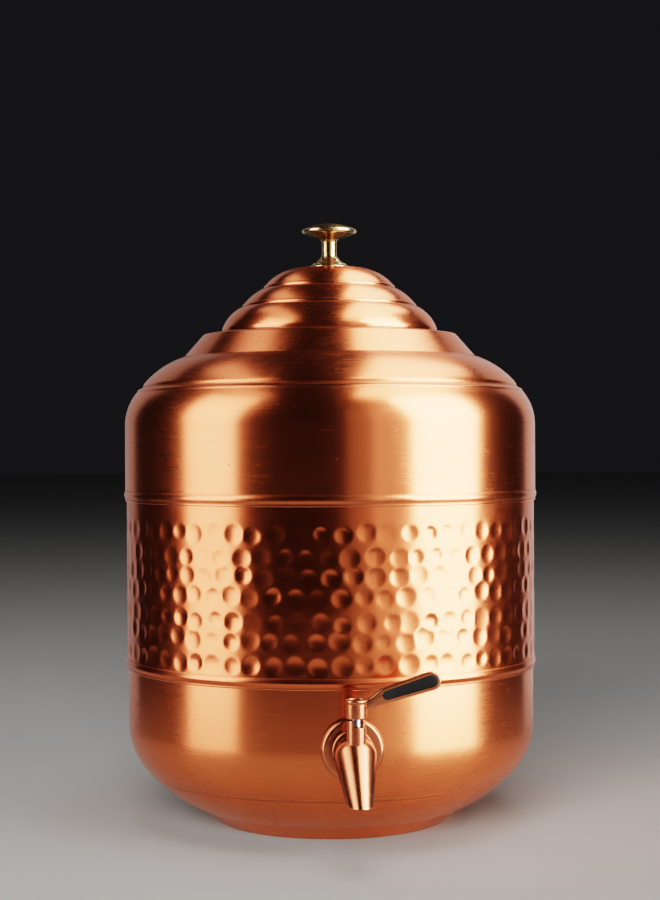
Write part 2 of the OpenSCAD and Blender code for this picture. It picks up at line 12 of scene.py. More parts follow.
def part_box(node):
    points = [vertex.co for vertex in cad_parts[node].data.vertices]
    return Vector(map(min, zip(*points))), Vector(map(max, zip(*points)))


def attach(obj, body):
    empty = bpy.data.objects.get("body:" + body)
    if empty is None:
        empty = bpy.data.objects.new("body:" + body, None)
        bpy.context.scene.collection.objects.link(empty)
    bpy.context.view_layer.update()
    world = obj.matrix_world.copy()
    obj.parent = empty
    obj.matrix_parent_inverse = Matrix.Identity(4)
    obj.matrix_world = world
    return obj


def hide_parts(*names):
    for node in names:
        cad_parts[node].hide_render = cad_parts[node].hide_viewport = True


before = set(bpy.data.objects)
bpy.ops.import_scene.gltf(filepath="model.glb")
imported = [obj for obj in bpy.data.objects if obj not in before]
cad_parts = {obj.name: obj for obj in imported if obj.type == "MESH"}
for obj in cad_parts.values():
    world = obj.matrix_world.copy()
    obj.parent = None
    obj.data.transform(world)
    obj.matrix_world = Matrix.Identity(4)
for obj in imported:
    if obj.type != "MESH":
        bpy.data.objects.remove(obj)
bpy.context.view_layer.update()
mm = 0.001
print("frame loaded:", len(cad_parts), "CAD nodes")


def boxOf(node):
    # the low and high corners of a CAD node's box, in millimetres
    low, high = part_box(node)
    return np.array(low) / mm, np.array(high) / mm


camera = {
    "distance": 1.274,   # metres from the drum's axis
    "eyeHeight": 0.260,
    "azimuth": 5.3,      # degrees to the left of the tap
    "lens": 74.16, "sensorWidth": 36.0,
    "shiftY": -0.015,
    "roll": -0.25,
    "nearest": 0.05, "furthest": 60.0,
}

stage = {
    "floorColour": (0.70, 0.695, 0.685), "cloudShade": 0.985, "cloudScale": 0.7,
    "floorRoughness": 0.75,
    "floorRadius": 12.0, "firstRing": 0.3,
    "mirrorNear": 0.32, "mirrorFar": 0.90,   # the metal sees the floor only this far out
    "worldColour": (0.016, 0.016, 0.0175),
    "exposure": 0.0,
    "aimHeight": 0.2,                        # where the boxes point, on the drum's axis
}

# shine boxes are seen only in reflections, as the metal's highlights. Floor boxes light only
# what is matt, so the floor stays soft and even
shineBox = {"use": "shine", "distance": 2.3, "height": 2.4, "spread": 150.0,
            "colour": (1.0, 0.97, 0.92)}
floorBox = {"use": "floor", "distance": 2.4, "height": 1.0, "spread": 170.0,
            "colour": (1.0, 0.98, 0.95)}
softboxes = {
    # azimuth is measured from the camera, positive to its right. radiance is what the drum
    # sees face on, and spread narrows the beam
    "keyRight": dict(shineBox, azimuth=65.0, elevation=17.0, width=1.8, height=2.9,
                     radiance=13.0, colour=(1.0, 0.98, 0.96)),
    "keyRightInner": dict(shineBox, azimuth=31.0, elevation=10.0, width=0.75, distance=2.5,
                          radiance=0.75),
    "keyRightFade": dict(shineBox, azimuth=19.0, elevation=8.0, width=0.85, distance=2.5,
                         height=2.2, radiance=0.32),
    "keyRightUpper": dict(shineBox, azimuth=92.0, elevation=65.0, width=3.2, height=1.15,
                          radiance=5.6),
    "fillLeft": dict(shineBox, azimuth=-67.5, elevation=17.0, width=1.40, height=2.9,
                     radiance=4.3, colour=(1.0, 0.96, 0.95)),
    "fillLeftUpper": dict(shineBox, azimuth=-94.0, elevation=60.0, width=2.6, height=0.45,
                          radiance=1.3, colour=(1.0, 0.96, 0.95)),
    "rimRight": dict(shineBox, azimuth=152.0, elevation=8.0, width=1.4, radiance=0.55,
                     colour=(1.0, 1.0, 1.0)),
    "rimLeft": dict(shineBox, azimuth=-152.0, elevation=8.0, width=1.4, radiance=0.30,
                    colour=(1.0, 1.0, 1.0)),
    "floorPool": dict(floorBox, azimuth=20.0, elevation=78.0, width=1.3, height=1.3,
                      radiance=2.0, colour=(1.0, 0.99, 0.97)),
    "floorFront": dict(floorBox, azimuth=-12.0, elevation=17.0, width=1.8, radiance=9.2),
    "floorSide": dict(floorBox, azimuth=55.0, elevation=35.0, width=1.2, radiance=1.2,
                      colour=(1.0, 0.98, 0.94)),
}


def direction(azimuth, elevation):
    # a unit vector towards a place seen from the drum
    a = math.radians(azimuth - camera["azimuth"])
    e = math.radians(elevation)
    return np.array([math.sin(a) * math.cos(e), -math.cos(a) * math.cos(e), math.sin(e)])


def addCamera():
    data = bpy.data.cameras.new("camera")
    data.lens = camera["lens"]
    data.sensor_width = camera["sensorWidth"]
    data.shift_y = camera["shiftY"]
    data.clip_start = camera["nearest"]
    data.clip_end = camera["furthest"]
    eye = bpy.data.objects.new("camera", data)
    a = math.radians(camera["azimuth"])
    eye.location = (-math.sin(a) * camera["distance"], -math.cos(a) * camera["distance"],
                    camera["eyeHeight"])
    level = Euler((math.radians(90.0), 0.0, -a)).to_matrix()
    eye.rotation_euler = (level @ Matrix.Rotation(math.radians(camera["roll"]), 3, "Z")).to_euler()
    bpy.context.scene.collection.objects.link(eye)
    bpy.context.scene.camera = eye


def addSoftbox(name, box):
    data = bpy.data.lights.new(name, "AREA")
    data.shape = "RECTANGLE"
    data.size = box["width"]
    data.size_y = box["height"]
    half = math.radians(box["spread"] / 2)
    focus = 1.0 - half / math.tan(half)   # a narrower beam is brighter for the same power
    data.energy = box["radiance"] * math.pi * box["width"] * box["height"] * focus
    data.color = box["colour"]
    data.spread = math.radians(box["spread"])
    lamp = bpy.data.objects.new(name, data)
    lamp.visible_camera = False
    lamp.visible_diffuse = box["use"] == "floor"
    lamp.visible_glossy = box["use"] == "shine"
    aim = np.array([0.0, 0.0, stage["aimHeight"]])
    place = aim + direction(box["azimuth"], box["elevation"]) * box["distance"]
    lamp.location = place
    lamp.rotation_euler = Vector(aim - place).to_track_quat("-Z", "Y").to_euler()
    bpy.context.scene.collection.objects.link(lamp)


def makeObject(name, points, faces, uvs=None, marks=None, sharpAngle=32.0):
    # points in millimetres, faces as lists of corners, one uv for each corner of each face, and
    # marks as one number for each point
    mesh = bpy.data.meshes.new(name)
    mesh.from_pydata((np.asarray(points) * mm).tolist(), [], faces)
    if uvs is not None:
        layer = mesh.uv_layers.new(name="turned")
        layer.data.foreach_set("uv", np.asarray(uvs, np.float32).ravel())
    for key, values in (marks or {}).items():
        attribute = mesh.attributes.new(key, "FLOAT", "POINT")
        attribute.data.foreach_set("value", np.asarray(values, np.float32).ravel())
    work = bmesh.new()
    work.from_mesh(mesh)
    bmesh.ops.remove_doubles(work, verts=work.verts, dist=1e-7)
    bmesh.ops.dissolve_degenerate(work, edges=work.edges, dist=1e-8)
    if work.calc_volume(signed=True) < 0:
        bmesh.ops.reverse_faces(work, faces=work.faces)
    work.to_mesh(mesh)
    work.free()
    mesh.shade_smooth()
    mesh.set_sharp_from_angle(angle=math.radians(sharpAngle))
    made = bpy.data.objects.new(name, mesh)
    bpy.context.scene.collection.objects.link(made)
    return made


def gridObject(name, grid, run, closed=False, marks=None, sharpAngle=32.0):
    # a surface of lines side by side round an axis: grid holds a line of points for each step
    # of the turn, and closed joins each line's end to its start. The UV map holds run, the
    # distance along each line, and the share of a turn
    count, rows = grid.shape[:2]
    i, j = np.meshgrid(np.arange(count), np.arange(rows if closed else rows - 1), indexing="ij")
    k, n = (i + 1) % count, (j + 1) % rows
    quads = np.stack([i * rows + j, k * rows + j, k * rows + n, i * rows + n], -1).reshape(-1, 4)
    u = np.stack([run[i, j], run[k, j], run[k, j + 1], run[i, j + 1]], -1)
    v = np.stack([i, i + 1, i + 1, i], -1) / count
    return makeObject(name, grid.reshape(-1, 3), quads.tolist(),
                      np.stack([u, v], -1).reshape(-1, 2), marks, sharpAngle)


def onCircle(degrees):
    # the point of a unit circle at an angle
    return np.array([math.cos(math.radians(degrees)), math.sin(math.radians(degrees))])


def arc(centre, radius, start, stop, count):
    # points on a circle between two angles in degrees
    a = np.radians(np.linspace(start, stop, count))
    return np.stack([centre[0] + radius * np.cos(a), centre[1] + radius * np.sin(a)], 1)


def joined(*pieces):
    # one outline out of several, without the points that repeat
    line = np.concatenate([np.atleast_2d(p) for p in pieces])
    keep = np.r_[True, np.linalg.norm(np.diff(line, axis=0), axis=1) > 1e-6]
    return line[keep]


def spaced(line, step):
    # the outline with points added so that none are further apart than step
    gaps = np.linalg.norm(np.diff(line, axis=0), axis=1)
    parts = [a + (b - a) * np.linspace(0, 1, max(1, math.ceil(g / step)), endpoint=False)[:, None]
             for a, b, g in zip(line[:-1], line[1:], gaps)]
    return np.concatenate(parts + [line[-1:]])


def rounded(corners, radii, count):
    # each corner of an open outline is replaced by a curve that leaves and meets its two
    # sides at the given distance, a quadratic curve with the corner as its middle control
    corners = np.asarray(corners, float)
    out = [corners[:1]]
    t = np.linspace(0, 1, count)[:, None]
    for before, here, after, r in zip(corners[:-2], corners[1:-1], corners[2:], radii):
        a = here + (before - here) * min(0.5, r / np.linalg.norm(before - here))
        b = here + (after - here) * min(0.5, r / np.linalg.norm(after - here))
        out.append((1 - t) ** 2 * a + 2 * t * (1 - t) * here + t ** 2 * b)
    out.append(corners[-1:])
    return joined(*out)


def leftNormals(line):
    # the unit vector to the left of an outline's direction, at each point
    along = np.gradient(line, axis=0)
    along /= np.maximum(np.linalg.norm(along, axis=1, keepdims=True), 1e-9)
    return np.stack([-along[:, 1], along[:, 0]], 1)


def shellOutline(face, thickness, openEnd=(True, True)):
    # a sheet's section: its outer face, and the same line moved to its left by the thickness,
    # with half-round edges. An end that isn't open lies on the axis
    inward = leftNormals(face)
    inner = face + inward * thickness
    half = thickness / 2
    t = np.linspace(0, np.pi, 7)[1:-1, None]

    def edge(k, other):
        # half a circle from the face's last point round to the inner line's
        ahead = (face[k] - face[other]) / np.linalg.norm(face[k] - face[other])
        middle = face[k] + inward[k] * half
        return middle - inward[k] * half * np.cos(t) + ahead * half * np.sin(t)

    if not openEnd[0]:
        inner[0] = [face[0, 0], inner[0, 1]]
    if not openEnd[1]:
        inner[-1] = [face[-1, 0], inner[-1, 1]]
    parts = [face]
    if openEnd[1]:
        parts.append(edge(-1, -2))
    parts.append(inner[::-1])
    if openEnd[0]:
        parts.append(edge(0, 1)[::-1])
    return joined(*parts)


def bendOf(outline, closed):
    # how sharply the outline turns at each point, in radians for each millimetre: positive at
    # outward edges and negative in creases
    if closed:
        before, after = np.roll(outline, 1, 0), np.roll(outline, -1, 0)
    else:
        before = np.concatenate([outline[:1], outline[:-1]])
        after = np.concatenate([outline[1:], outline[-1:]])
    a, b = outline - before, after - outline
    turn = np.arctan2(a[:, 0] * b[:, 1] - a[:, 1] * b[:, 0], (a * b).sum(1))
    length = (np.linalg.norm(a, axis=1) + np.linalg.norm(b, axis=1)) / 2
    area = np.sum(outline[:, 0] * np.roll(outline[:, 1], -1)
                  - outline[:, 1] * np.roll(outline[:, 0], -1))
    return turn / np.maximum(length, 1e-6) * (1.0 if area > 0 else -1.0)


# how a bend becomes a rubbed edge or a crease darkened with painted shade: a gain, and what is taken
# off
edgeMarks = {"wear": (0.9, 0.12), "crease": (-2.2, 0.05)}


def turned(name, outline, count, closed=True, place=None, lift=None, sharpAngle=32.0):
    # a section (radius, height) carried round its axis: a point is at radius times the cosine
    # and sine of the angle, and at its height. lift moves points out or in along the radius
    outline = np.asarray(outline, float)
    angle = np.arange(count)[:, None] / count * 2 * np.pi
    radius = np.repeat(outline[None, :, 0], count, 0)
    height = np.repeat(outline[None, :, 1], count, 0)
    if lift is not None:
        radius = radius + lift(angle, outline[None, :, 0], outline[None, :, 1])
    grid = np.stack([radius * np.cos(angle), radius * np.sin(angle), height], -1)
    loop = np.concatenate([outline, outline[:1]]) if closed else outline
    run = np.concatenate([[0], np.cumsum(np.linalg.norm(np.diff(loop, axis=0), axis=1))]) * mm
    bend = bendOf(outline, closed)
    marks = {}
    for key, (gain, least) in edgeMarks.items():
        marks[key] = np.tile(np.clip(bend * gain - least, 0, 1), count)
    return gridObject(name, grid if place is None else place(grid), np.tile(run, (count, 1)),
                      closed, marks, sharpAngle)


def giveTo(tree, socket, value):
    # a socket gets a link from another socket, or a plain number or colour
    if isinstance(value, bpy.types.NodeSocket):
        tree.links.new(value, socket)
    else:
        socket.default_value = value


def nodeIn(tree, kind, settings=None, **inputs):
    # a node with its settings, and its inputs given as numbers or as sockets to link
    made = tree.nodes.new(kind)
    for key, value in (settings or {}).items():
        setattr(made, key, value)
    for key, value in inputs.items():
        socket = made.inputs[int(key[1:])] if key[0] == "_" else made.inputs[key.replace("_", " ")]
        giveTo(tree, socket, value)
    return made


def mathOf(tree, operation, a, b=0.0, c=0.0):
    return nodeIn(tree, "ShaderNodeMath", {"operation": operation}, _0=a, _1=b, _2=c).outputs[0]


def times(tree, a, b, more=None):
    # a product, or a product with something added to it
    if more is None:
        return mathOf(tree, "MULTIPLY", a, b)
    return mathOf(tree, "MULTIPLY_ADD", a, b, more)


def rangeOf(tree, value, low, high, toLow=0.0, toHigh=1.0):
    return nodeIn(tree, "ShaderNodeMapRange", {"interpolation_type": "SMOOTHSTEP"},
                  Value=value, From_Min=low, From_Max=high, To_Min=toLow, To_Max=toHigh).outputs[0]


def mixOf(tree, amount, a, b):
    made = nodeIn(tree, "ShaderNodeMix", {"data_type": "RGBA"})
    giveTo(tree, made.inputs[0], amount)
    for socket, value in ((made.inputs[6], a), (made.inputs[7], b)):
        giveTo(tree, socket, (*value, 1.0) if isinstance(value, tuple) else value)
    return made.outputs[2]


def newGroup(name, numbers, *outputs):
    # a shader node group that takes a place and some numbers and puts out masks. It comes with
    # its inputs' sockets to read from and its outputs' sockets to link to
    tree = bpy.data.node_groups.new(name, "ShaderNodeTree")
    tree.interface.new_socket("Vector", in_out="INPUT", socket_type="NodeSocketVector")
    for label, value in numbers.items():
        given = tree.interface.new_socket(label, in_out="INPUT", socket_type="NodeSocketFloat")
        given.default_value = value
    for label in outputs:
        tree.interface.new_socket(label, in_out="OUTPUT", socket_type="NodeSocketFloat")
    return tree, tree.nodes.new("NodeGroupInput").outputs, tree.nodes.new("NodeGroupOutput").inputs


def buildTurnedGrain():
    # polishing lines that run round an axis: noise over (radius, height) that is stretched
    # many times along the angle, read as its cosine and sine so that it has no seam
    tree, given, out = newGroup("turnedGrain", {
        "Line Density": 900.0, "Line Reach": 5.0, "Streak Density": 120.0}, "Lines", "Streaks")
    part = nodeIn(tree, "ShaderNodeSeparateXYZ", Vector=given["Vector"]).outputs
    radius = mathOf(tree, "SQRT", mathOf(tree, "ADD", times(tree, part[0], part[0]),
                                         times(tree, part[1], part[1])))
    safe = mathOf(tree, "MAXIMUM", radius, 1e-5)
    cosine = mathOf(tree, "DIVIDE", part[0], safe)
    sine = mathOf(tree, "DIVIDE", part[1], safe)
    for label, density, reach, detail in (("Lines", given["Line Density"], 1.0, 2.0),
                                          ("Streaks", given["Streak Density"], 0.5, 3.0)):
        spread = times(tree, given["Line Reach"], reach)
        place = nodeIn(tree, "ShaderNodeCombineXYZ", X=times(tree, radius, density),
                       Y=times(tree, part[2], density), Z=times(tree, cosine, spread)).outputs[0]
        noise = nodeIn(tree, "ShaderNodeTexNoise", {"noise_dimensions": "4D"}, Vector=place,
                       W=times(tree, sine, spread), Scale=1.0, Detail=detail, Roughness=0.6)
        tree.links.new(rangeOf(tree, noise.outputs[0], 0.25, 0.75), out[label])
    return tree


def buildHandling():
    # smudges from hands, and a few small specks where dust or a pit sits
    tree, given, out = newGroup("handling", {
        "Smudge Scale": 14.0, "Speck Scale": 260.0, "Speck Share": 0.03},
        "Smudge", "Specks", "Drift")
    wide = nodeIn(tree, "ShaderNodeTexNoise", Vector=given["Vector"], Scale=given["Smudge Scale"],
                  Detail=5.0, Roughness=0.62, Distortion=0.8)
    tree.links.new(rangeOf(tree, wide.outputs[0], 0.42, 0.72), out["Smudge"])
    slow = nodeIn(tree, "ShaderNodeTexNoise", Vector=given["Vector"],
                  Scale=times(tree, given["Smudge Scale"], 0.45), Detail=2.0)
    tree.links.new(rangeOf(tree, slow.outputs[0], 0.3, 0.7), out["Drift"])
    cells = nodeIn(tree, "ShaderNodeTexVoronoi", Vector=given["Vector"],
                   Scale=given["Speck Scale"], Randomness=1.0)
    near = rangeOf(tree, cells.outputs["Distance"], 0.16, 0.06)
    pick = nodeIn(tree, "ShaderNodeSeparateXYZ", Vector=cells.outputs["Color"]).outputs[0]
    rare = mathOf(tree, "LESS_THAN", pick, given["Speck Share"])
    tree.links.new(times(tree, near, rare), out["Specks"])
    return tree


def buildEdgeWearAndCreaseShade():
    # rubbed edges, and painted shade that darkens the creases, broken up by a fine noise
    tree, given, out = newGroup("edgeWearAndCreaseShade", {
        "Wear": 0.0, "Crease": 0.0, "Break Up": 180.0}, "Rubbed", "Crease Shade")
    noise = nodeIn(tree, "ShaderNodeTexNoise", Vector=given["Vector"], Scale=given["Break Up"],
                   Detail=4.0).outputs[0]
    rubbed = times(tree, given["Wear"], rangeOf(tree, noise, 0.3, 0.6, 0.35, 1.0))
    tree.links.new(rubbed, out["Rubbed"])
    # painted shade: the crease mask, broken up, later darkens the creases' colour
    creaseShade = times(tree, given["Crease"], rangeOf(tree, noise, 0.25, 0.7, 0.55, 1.0))
    tree.links.new(creaseShade, out["Crease Shade"])
    return tree


groups = {"grain": buildTurnedGrain(), "handling": buildHandling(), "edges": buildEdgeWearAndCreaseShade()}
print("node groups built")


def groupIn(tree, key, **inputs):
    return nodeIn(tree, "ShaderNodeGroup", {"node_tree": groups[key]}, **inputs).outputs


def newMaterial(name):
    made = bpy.data.materials.new(name)
    made.use_nodes = True
    tree = made.node_tree
    tree.nodes.clear()
    shader = tree.nodes.new("ShaderNodeBsdfPrincipled")
    target = tree.nodes.new("ShaderNodeOutputMaterial")
    tree.links.new(shader.outputs[0], target.inputs[0])
    return made, tree, shader


def objectPlace(tree, centre=(0.0, 0.0, 0.0), tilt=0.0):
    # object coordinates moved so that the piece's own axis is Z through the origin
    where = tree.nodes.new("ShaderNodeTexCoord").outputs["Object"]
    moved = nodeIn(tree, "ShaderNodeMapping", {"vector_type": "TEXTURE"}, Vector=where,
                   Location=centre, Rotation=(math.radians(tilt), 0.0, 0.0))
    return moved.outputs[0]


def addBump(tree, shader, height):
    bump = nodeIn(tree, "ShaderNodeBump", Height=height, Strength=1.0, Distance=1.0)
    tree.links.new(bump.outputs[0], shader.inputs["Normal"])


def metalMaterial(name, look, centre=(0.0, 0.0, 0.0), tilt=0.0, uvTangent=False):
    # one recipe for every metal: turned lines, streaks, smudges, specks, rubbed edges, painted shade
    # in creases and a painted dull reflection, each with its own strength
    made, tree, shader = newMaterial(name)
    place = objectPlace(tree, centre, tilt)
    grain = groupIn(tree, "grain", Vector=place, Line_Density=look["lineDensity"],
                    Line_Reach=look["lineReach"], Streak_Density=look["streakDensity"])
    marks = groupIn(tree, "handling", Vector=place, Smudge_Scale=look["smudgeScale"],
                    Speck_Scale=look["speckScale"], Speck_Share=look["speckShare"])
    wear = nodeIn(tree, "ShaderNodeAttribute", {"attribute_name": "wear"}).outputs["Fac"]
    crease = nodeIn(tree, "ShaderNodeAttribute", {"attribute_name": "crease"}).outputs["Fac"]
    edges = groupIn(tree, "edges", Vector=place, Wear=wear, Crease=crease)
    tone = look["colour"]
    # the crease mark paints shade into creases, in the same dark colour as the specks
    for mark, share, colour in ((grain["Streaks"], "streakColour", "deepColour"),
                                (marks["Drift"], "driftColour", "warmColour"),
                                (edges["Rubbed"], "rubbed", "rubbedColour"),
                                (edges["Crease Shade"], "creaseShade", "tarnishAndCreaseShade"),
                                (marks["Specks"], "speckColour", "tarnishAndCreaseShade")):
        tone = mixOf(tree, times(tree, mark, look[share]), tone, look[colour])
    # painted reflection: glossy and diffuse rays see the metal painted a dull dark brown, since copper
    # mirrored in copper, or on the floor, would glow red on the second bounce
    ray = tree.nodes.new("ShaderNodeLightPath").outputs
    bouncedRay = mathOf(tree, "MAXIMUM", ray["Is Glossy Ray"], ray["Is Diffuse Ray"])
    tone = mixOf(tree, times(tree, bouncedRay, look["paintedMirrorShare"]), tone, look["paintedMirrorColour"])
    tree.links.new(tone, shader.inputs["Base Color"])
    rough = look["roughness"]
    for mark, share in ((grain["Lines"], "lineRough"), (grain["Streaks"], "streakRough"),
                        (marks["Smudge"], "smudgeRough"), (marks["Specks"], "speckRough"),
                        (edges["Crease Shade"], "darkRough")):
        rough = times(tree, mark, look[share], rough)
    tree.links.new(rough, shader.inputs["Roughness"])
    height = times(tree, grain["Lines"], look["lineDepth"])
    height = times(tree, grain["Streaks"], look["streakDepth"], height)
    height = times(tree, marks["Specks"], -look["speckDepth"], height)
    addBump(tree, shader, height)
    shader.inputs["Metallic"].default_value = 1.0
    if uvTangent:
        shader.inputs["Anisotropic"].default_value = look["anisotropy"]
        line = nodeIn(tree, "ShaderNodeTangent", {"direction_type": "UV_MAP", "uv_map": "turned"})
        tree.links.new(line.outputs[0], shader.inputs["Tangent"])
    return made


copperLook = {
    "colour": (0.935, 0.242, 0.106), "deepColour": (0.870, 0.196, 0.078),
    "warmColour": (0.945, 0.262, 0.106), "rubbedColour": (0.975, 0.410, 0.235),
    # the dark colour below paints both the specks and the shade in creases; the dull brown after it is
    # painted onto the metal as its reflections and bounced light see it
    "tarnishAndCreaseShade": (0.300, 0.055, 0.020), "paintedMirrorColour": (0.260, 0.150, 0.110), "paintedMirrorShare": 0.85,
    "streakColour": 0.22, "driftColour": 0.45, "rubbed": 0.75, "creaseShade": 0.55,
    "speckColour": 0.6,
    "roughness": 0.225, "lineRough": 0.030, "streakRough": 0.022, "smudgeRough": 0.05,
    "speckRough": 0.25, "darkRough": 0.18, "anisotropy": 0.72,
    "lineDepth": 6e-7, "streakDepth": 7e-7, "speckDepth": 1e-5,   # metres
    "lineDensity": 2600.0, "lineReach": 7.0, "streakDensity": 420.0,
    "smudgeScale": 11.0, "speckScale": 230.0, "speckShare": 0.012,
}
hammeredLook = dict(copperLook, colour=(0.870, 0.208, 0.090), deepColour=(0.790, 0.165, 0.066),
                    warmColour=(0.880, 0.222, 0.088), roughness=0.185, lineRough=0.02,
                    streakRough=0.02, smudgeRough=0.06, streakDepth=1.5e-6, streakColour=0.25)
insideLook = dict(copperLook, roughness=0.34, smudgeRough=0.10)
tapLook = dict(copperLook, colour=(0.745, 0.232, 0.116), deepColour=(0.650, 0.182, 0.086),
               warmColour=(0.755, 0.246, 0.112), roughness=0.215, streakRough=0.02,
               lineDepth=2e-7, streakDepth=3e-7, anisotropy=0.35, lineDensity=3500.0,
               streakDensity=900.0, smudgeScale=45.0, speckScale=500.0, lineReach=3.0)
# the dark colour of brass and steel also paints their specks and the shade in their creases
brassLook = dict(tapLook, colour=(0.670, 0.455, 0.215), deepColour=(0.560, 0.355, 0.145),
                 warmColour=(0.690, 0.485, 0.245), rubbedColour=(0.900, 0.780, 0.560),
                 tarnishAndCreaseShade=(0.300, 0.150, 0.030), roughness=0.19, anisotropy=0.25)
steelLook = dict(tapLook, colour=(0.600, 0.605, 0.610), deepColour=(0.480, 0.485, 0.495),
                 warmColour=(0.620, 0.615, 0.600), rubbedColour=(0.780, 0.780, 0.780),
                 tarnishAndCreaseShade=(0.160, 0.150, 0.140), roughness=0.16)

rubberLook = {
    "colour": (0.010, 0.010, 0.010), "pale": (0.026, 0.025, 0.024),
    "roughness": 0.52, "specular": 0.22, "grainScale": 1400.0, "grainDepth": 3e-5,
    "smudgeScale": 60.0, "smudgeColour": 0.35, "smudgeRough": 0.16,
    "speckScale": 900.0, "speckShare": 0.08, "speckColour": 0.5,
}


def rubberMaterial(name, look):
    # black rubber: a fine pebble grain, dust that greys it in patches, and rubbed spots
    made, tree, shader = newMaterial(name)
    place = objectPlace(tree)
    pebble = nodeIn(tree, "ShaderNodeTexVoronoi", Vector=place, Scale=look["grainScale"])
    dust = groupIn(tree, "handling", Vector=place, Smudge_Scale=look["smudgeScale"],
                   Speck_Scale=look["speckScale"], Speck_Share=look["speckShare"])
    dusty = times(tree, dust["Specks"], look["speckColour"],
                  times(tree, dust["Smudge"], look["smudgeColour"]))
    tree.links.new(mixOf(tree, dusty, look["colour"], look["pale"]), shader.inputs["Base Color"])
    rough = times(tree, dust["Smudge"], look["smudgeRough"], look["roughness"])
    tree.links.new(rough, shader.inputs["Roughness"])
    addBump(tree, shader, times(tree, pebble.outputs["Distance"], look["grainDepth"]))
    shader.inputs["Specular IOR Level"].default_value = look["specular"]
    return made


def floorMaterial():
    made, tree, shader = newMaterial("paleFloor")
    place = objectPlace(tree)
    cloud = nodeIn(tree, "ShaderNodeTexNoise", Vector=place, Scale=stage["cloudScale"],
                   Detail=2.0).outputs[0]
    base = np.array(stage["floorColour"])
    tone = mixOf(tree, cloud, tuple(base * stage["cloudShade"]), tuple(base))
    tree.links.new(tone, shader.inputs["Base Color"])
    shader.inputs["Roughness"].default_value = stage["floorRoughness"]
    shader.inputs["Specular IOR Level"].default_value = 0.0
    # to the metal the floor thins out with distance, so that the tall boxes are seen whole, and
    # it is clear from below
    ray = tree.nodes.new("ShaderNodeLightPath").outputs
    seen = mathOf(tree, "MAXIMUM", ray["Is Glossy Ray"], ray["Is Shadow Ray"])
    away = nodeIn(tree, "ShaderNodeVectorMath", {"operation": "LENGTH"}, Vector=place)
    far = rangeOf(tree, away.outputs["Value"], stage["mirrorNear"], stage["mirrorFar"])
    mixed = tree.nodes.new("ShaderNodeMixShader")
    under = tree.nodes.new("ShaderNodeNewGeometry").outputs["Backfacing"]
    clear = mathOf(tree, "MAXIMUM", times(tree, seen, far), under)
    tree.links.new(clear, mixed.inputs[0])
    tree.links.new(shader.outputs[0], mixed.inputs[1])
    tree.links.new(tree.nodes.new("ShaderNodeBsdfTransparent").outputs[0], mixed.inputs[2])
    output = next(n for n in tree.nodes if n.type == "OUTPUT_MATERIAL")
    tree.links.new(mixed.outputs[0], output.inputs["Surface"])
    return made


def addStage():
    # the floor: rings of points, each at a radius times the cosine and sine of its angle. Then
    # the dim room round it, and the softboxes
    angle = np.radians(np.linspace(0, 360, 121))[:-1]
    reach = np.r_[np.linspace(stage["floorRadius"], stage["firstRing"], 30), 0.0]
    a, d = np.meshgrid(angle, reach, indexing="ij")
    rings = np.stack([d * np.cos(a), d * np.sin(a), d * 0], -1) / mm
    floor = gridObject("floor", rings, d, sharpAngle=80.0)
    floor.data.materials.append(floorMaterial())
    world = bpy.data.worlds.new("studio")
    bpy.context.scene.world = world
    world.use_nodes = True
    sky = world.node_tree.nodes["Background"]
    sky.inputs["Color"].default_value = (*stage["worldColour"], 1.0)
    for name, box in softboxes.items():
        addSoftbox(name, box)
    film = bpy.context.scene.view_settings
    film.view_transform = "Filmic"
    film.look = "High Contrast"
    film.exposure = stage["exposure"]


addCamera()
addStage()
print("camera, floor and lights placed")

seat = {"tapZ": (boxOf("tap_flange")[0][2] + boxOf("tap_flange")[1][2]) / 2,
        "stemY": -(boxOf("valve_plug")[0][1] + boxOf("valve_plug")[1][1]) / 2}
tapCentre = (0.0, 0.0, seat["tapZ"] * mm)
stemCentre = (0.0, -seat["stemY"] * mm, 0.0)

finish = {
    "copperSatin": metalMaterial("copperSatin", copperLook, uvTangent=True),
    "copperHammered": metalMaterial("copperHammered", hammeredLook),
    "copperInside": metalMaterial("copperInside", insideLook),
    "tapAcross": metalMaterial("tapCopperTurned", tapLook, tapCentre, 90.0, uvTangent=True),
    "tapUpright": metalMaterial("tapCopperUpright", tapLook, stemCentre),
    "tapPlain": metalMaterial("tapCopperPlain", dict(tapLook, lineDepth=6e-7), stemCentre),
    "brass": metalMaterial("brassPolished", brassLook, uvTangent=True),
    "brassAcross": metalMaterial("brassMachined", dict(brassLook, roughness=0.22), tapCentre, 90.0),
    "steel": metalMaterial("steelTurned", steelLook),
    "steelAcross": metalMaterial("steelWasher", steelLook, tapCentre, 90.0),
    "steelUpright": metalMaterial("steelStem", dict(steelLook, roughness=0.12), stemCentre),
    "rubber": rubberMaterial("rubberBlack", rubberLook),
}
print("materials made")


def fitted(piece, material, body, slotName, *nodes):
    # a piece's material, the body it moves with and the CAD nodes it stands in for; slotName is not
    # used
    piece.data.materials.append(finish[material])
    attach(piece, body)
    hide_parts(*nodes)
    return piece


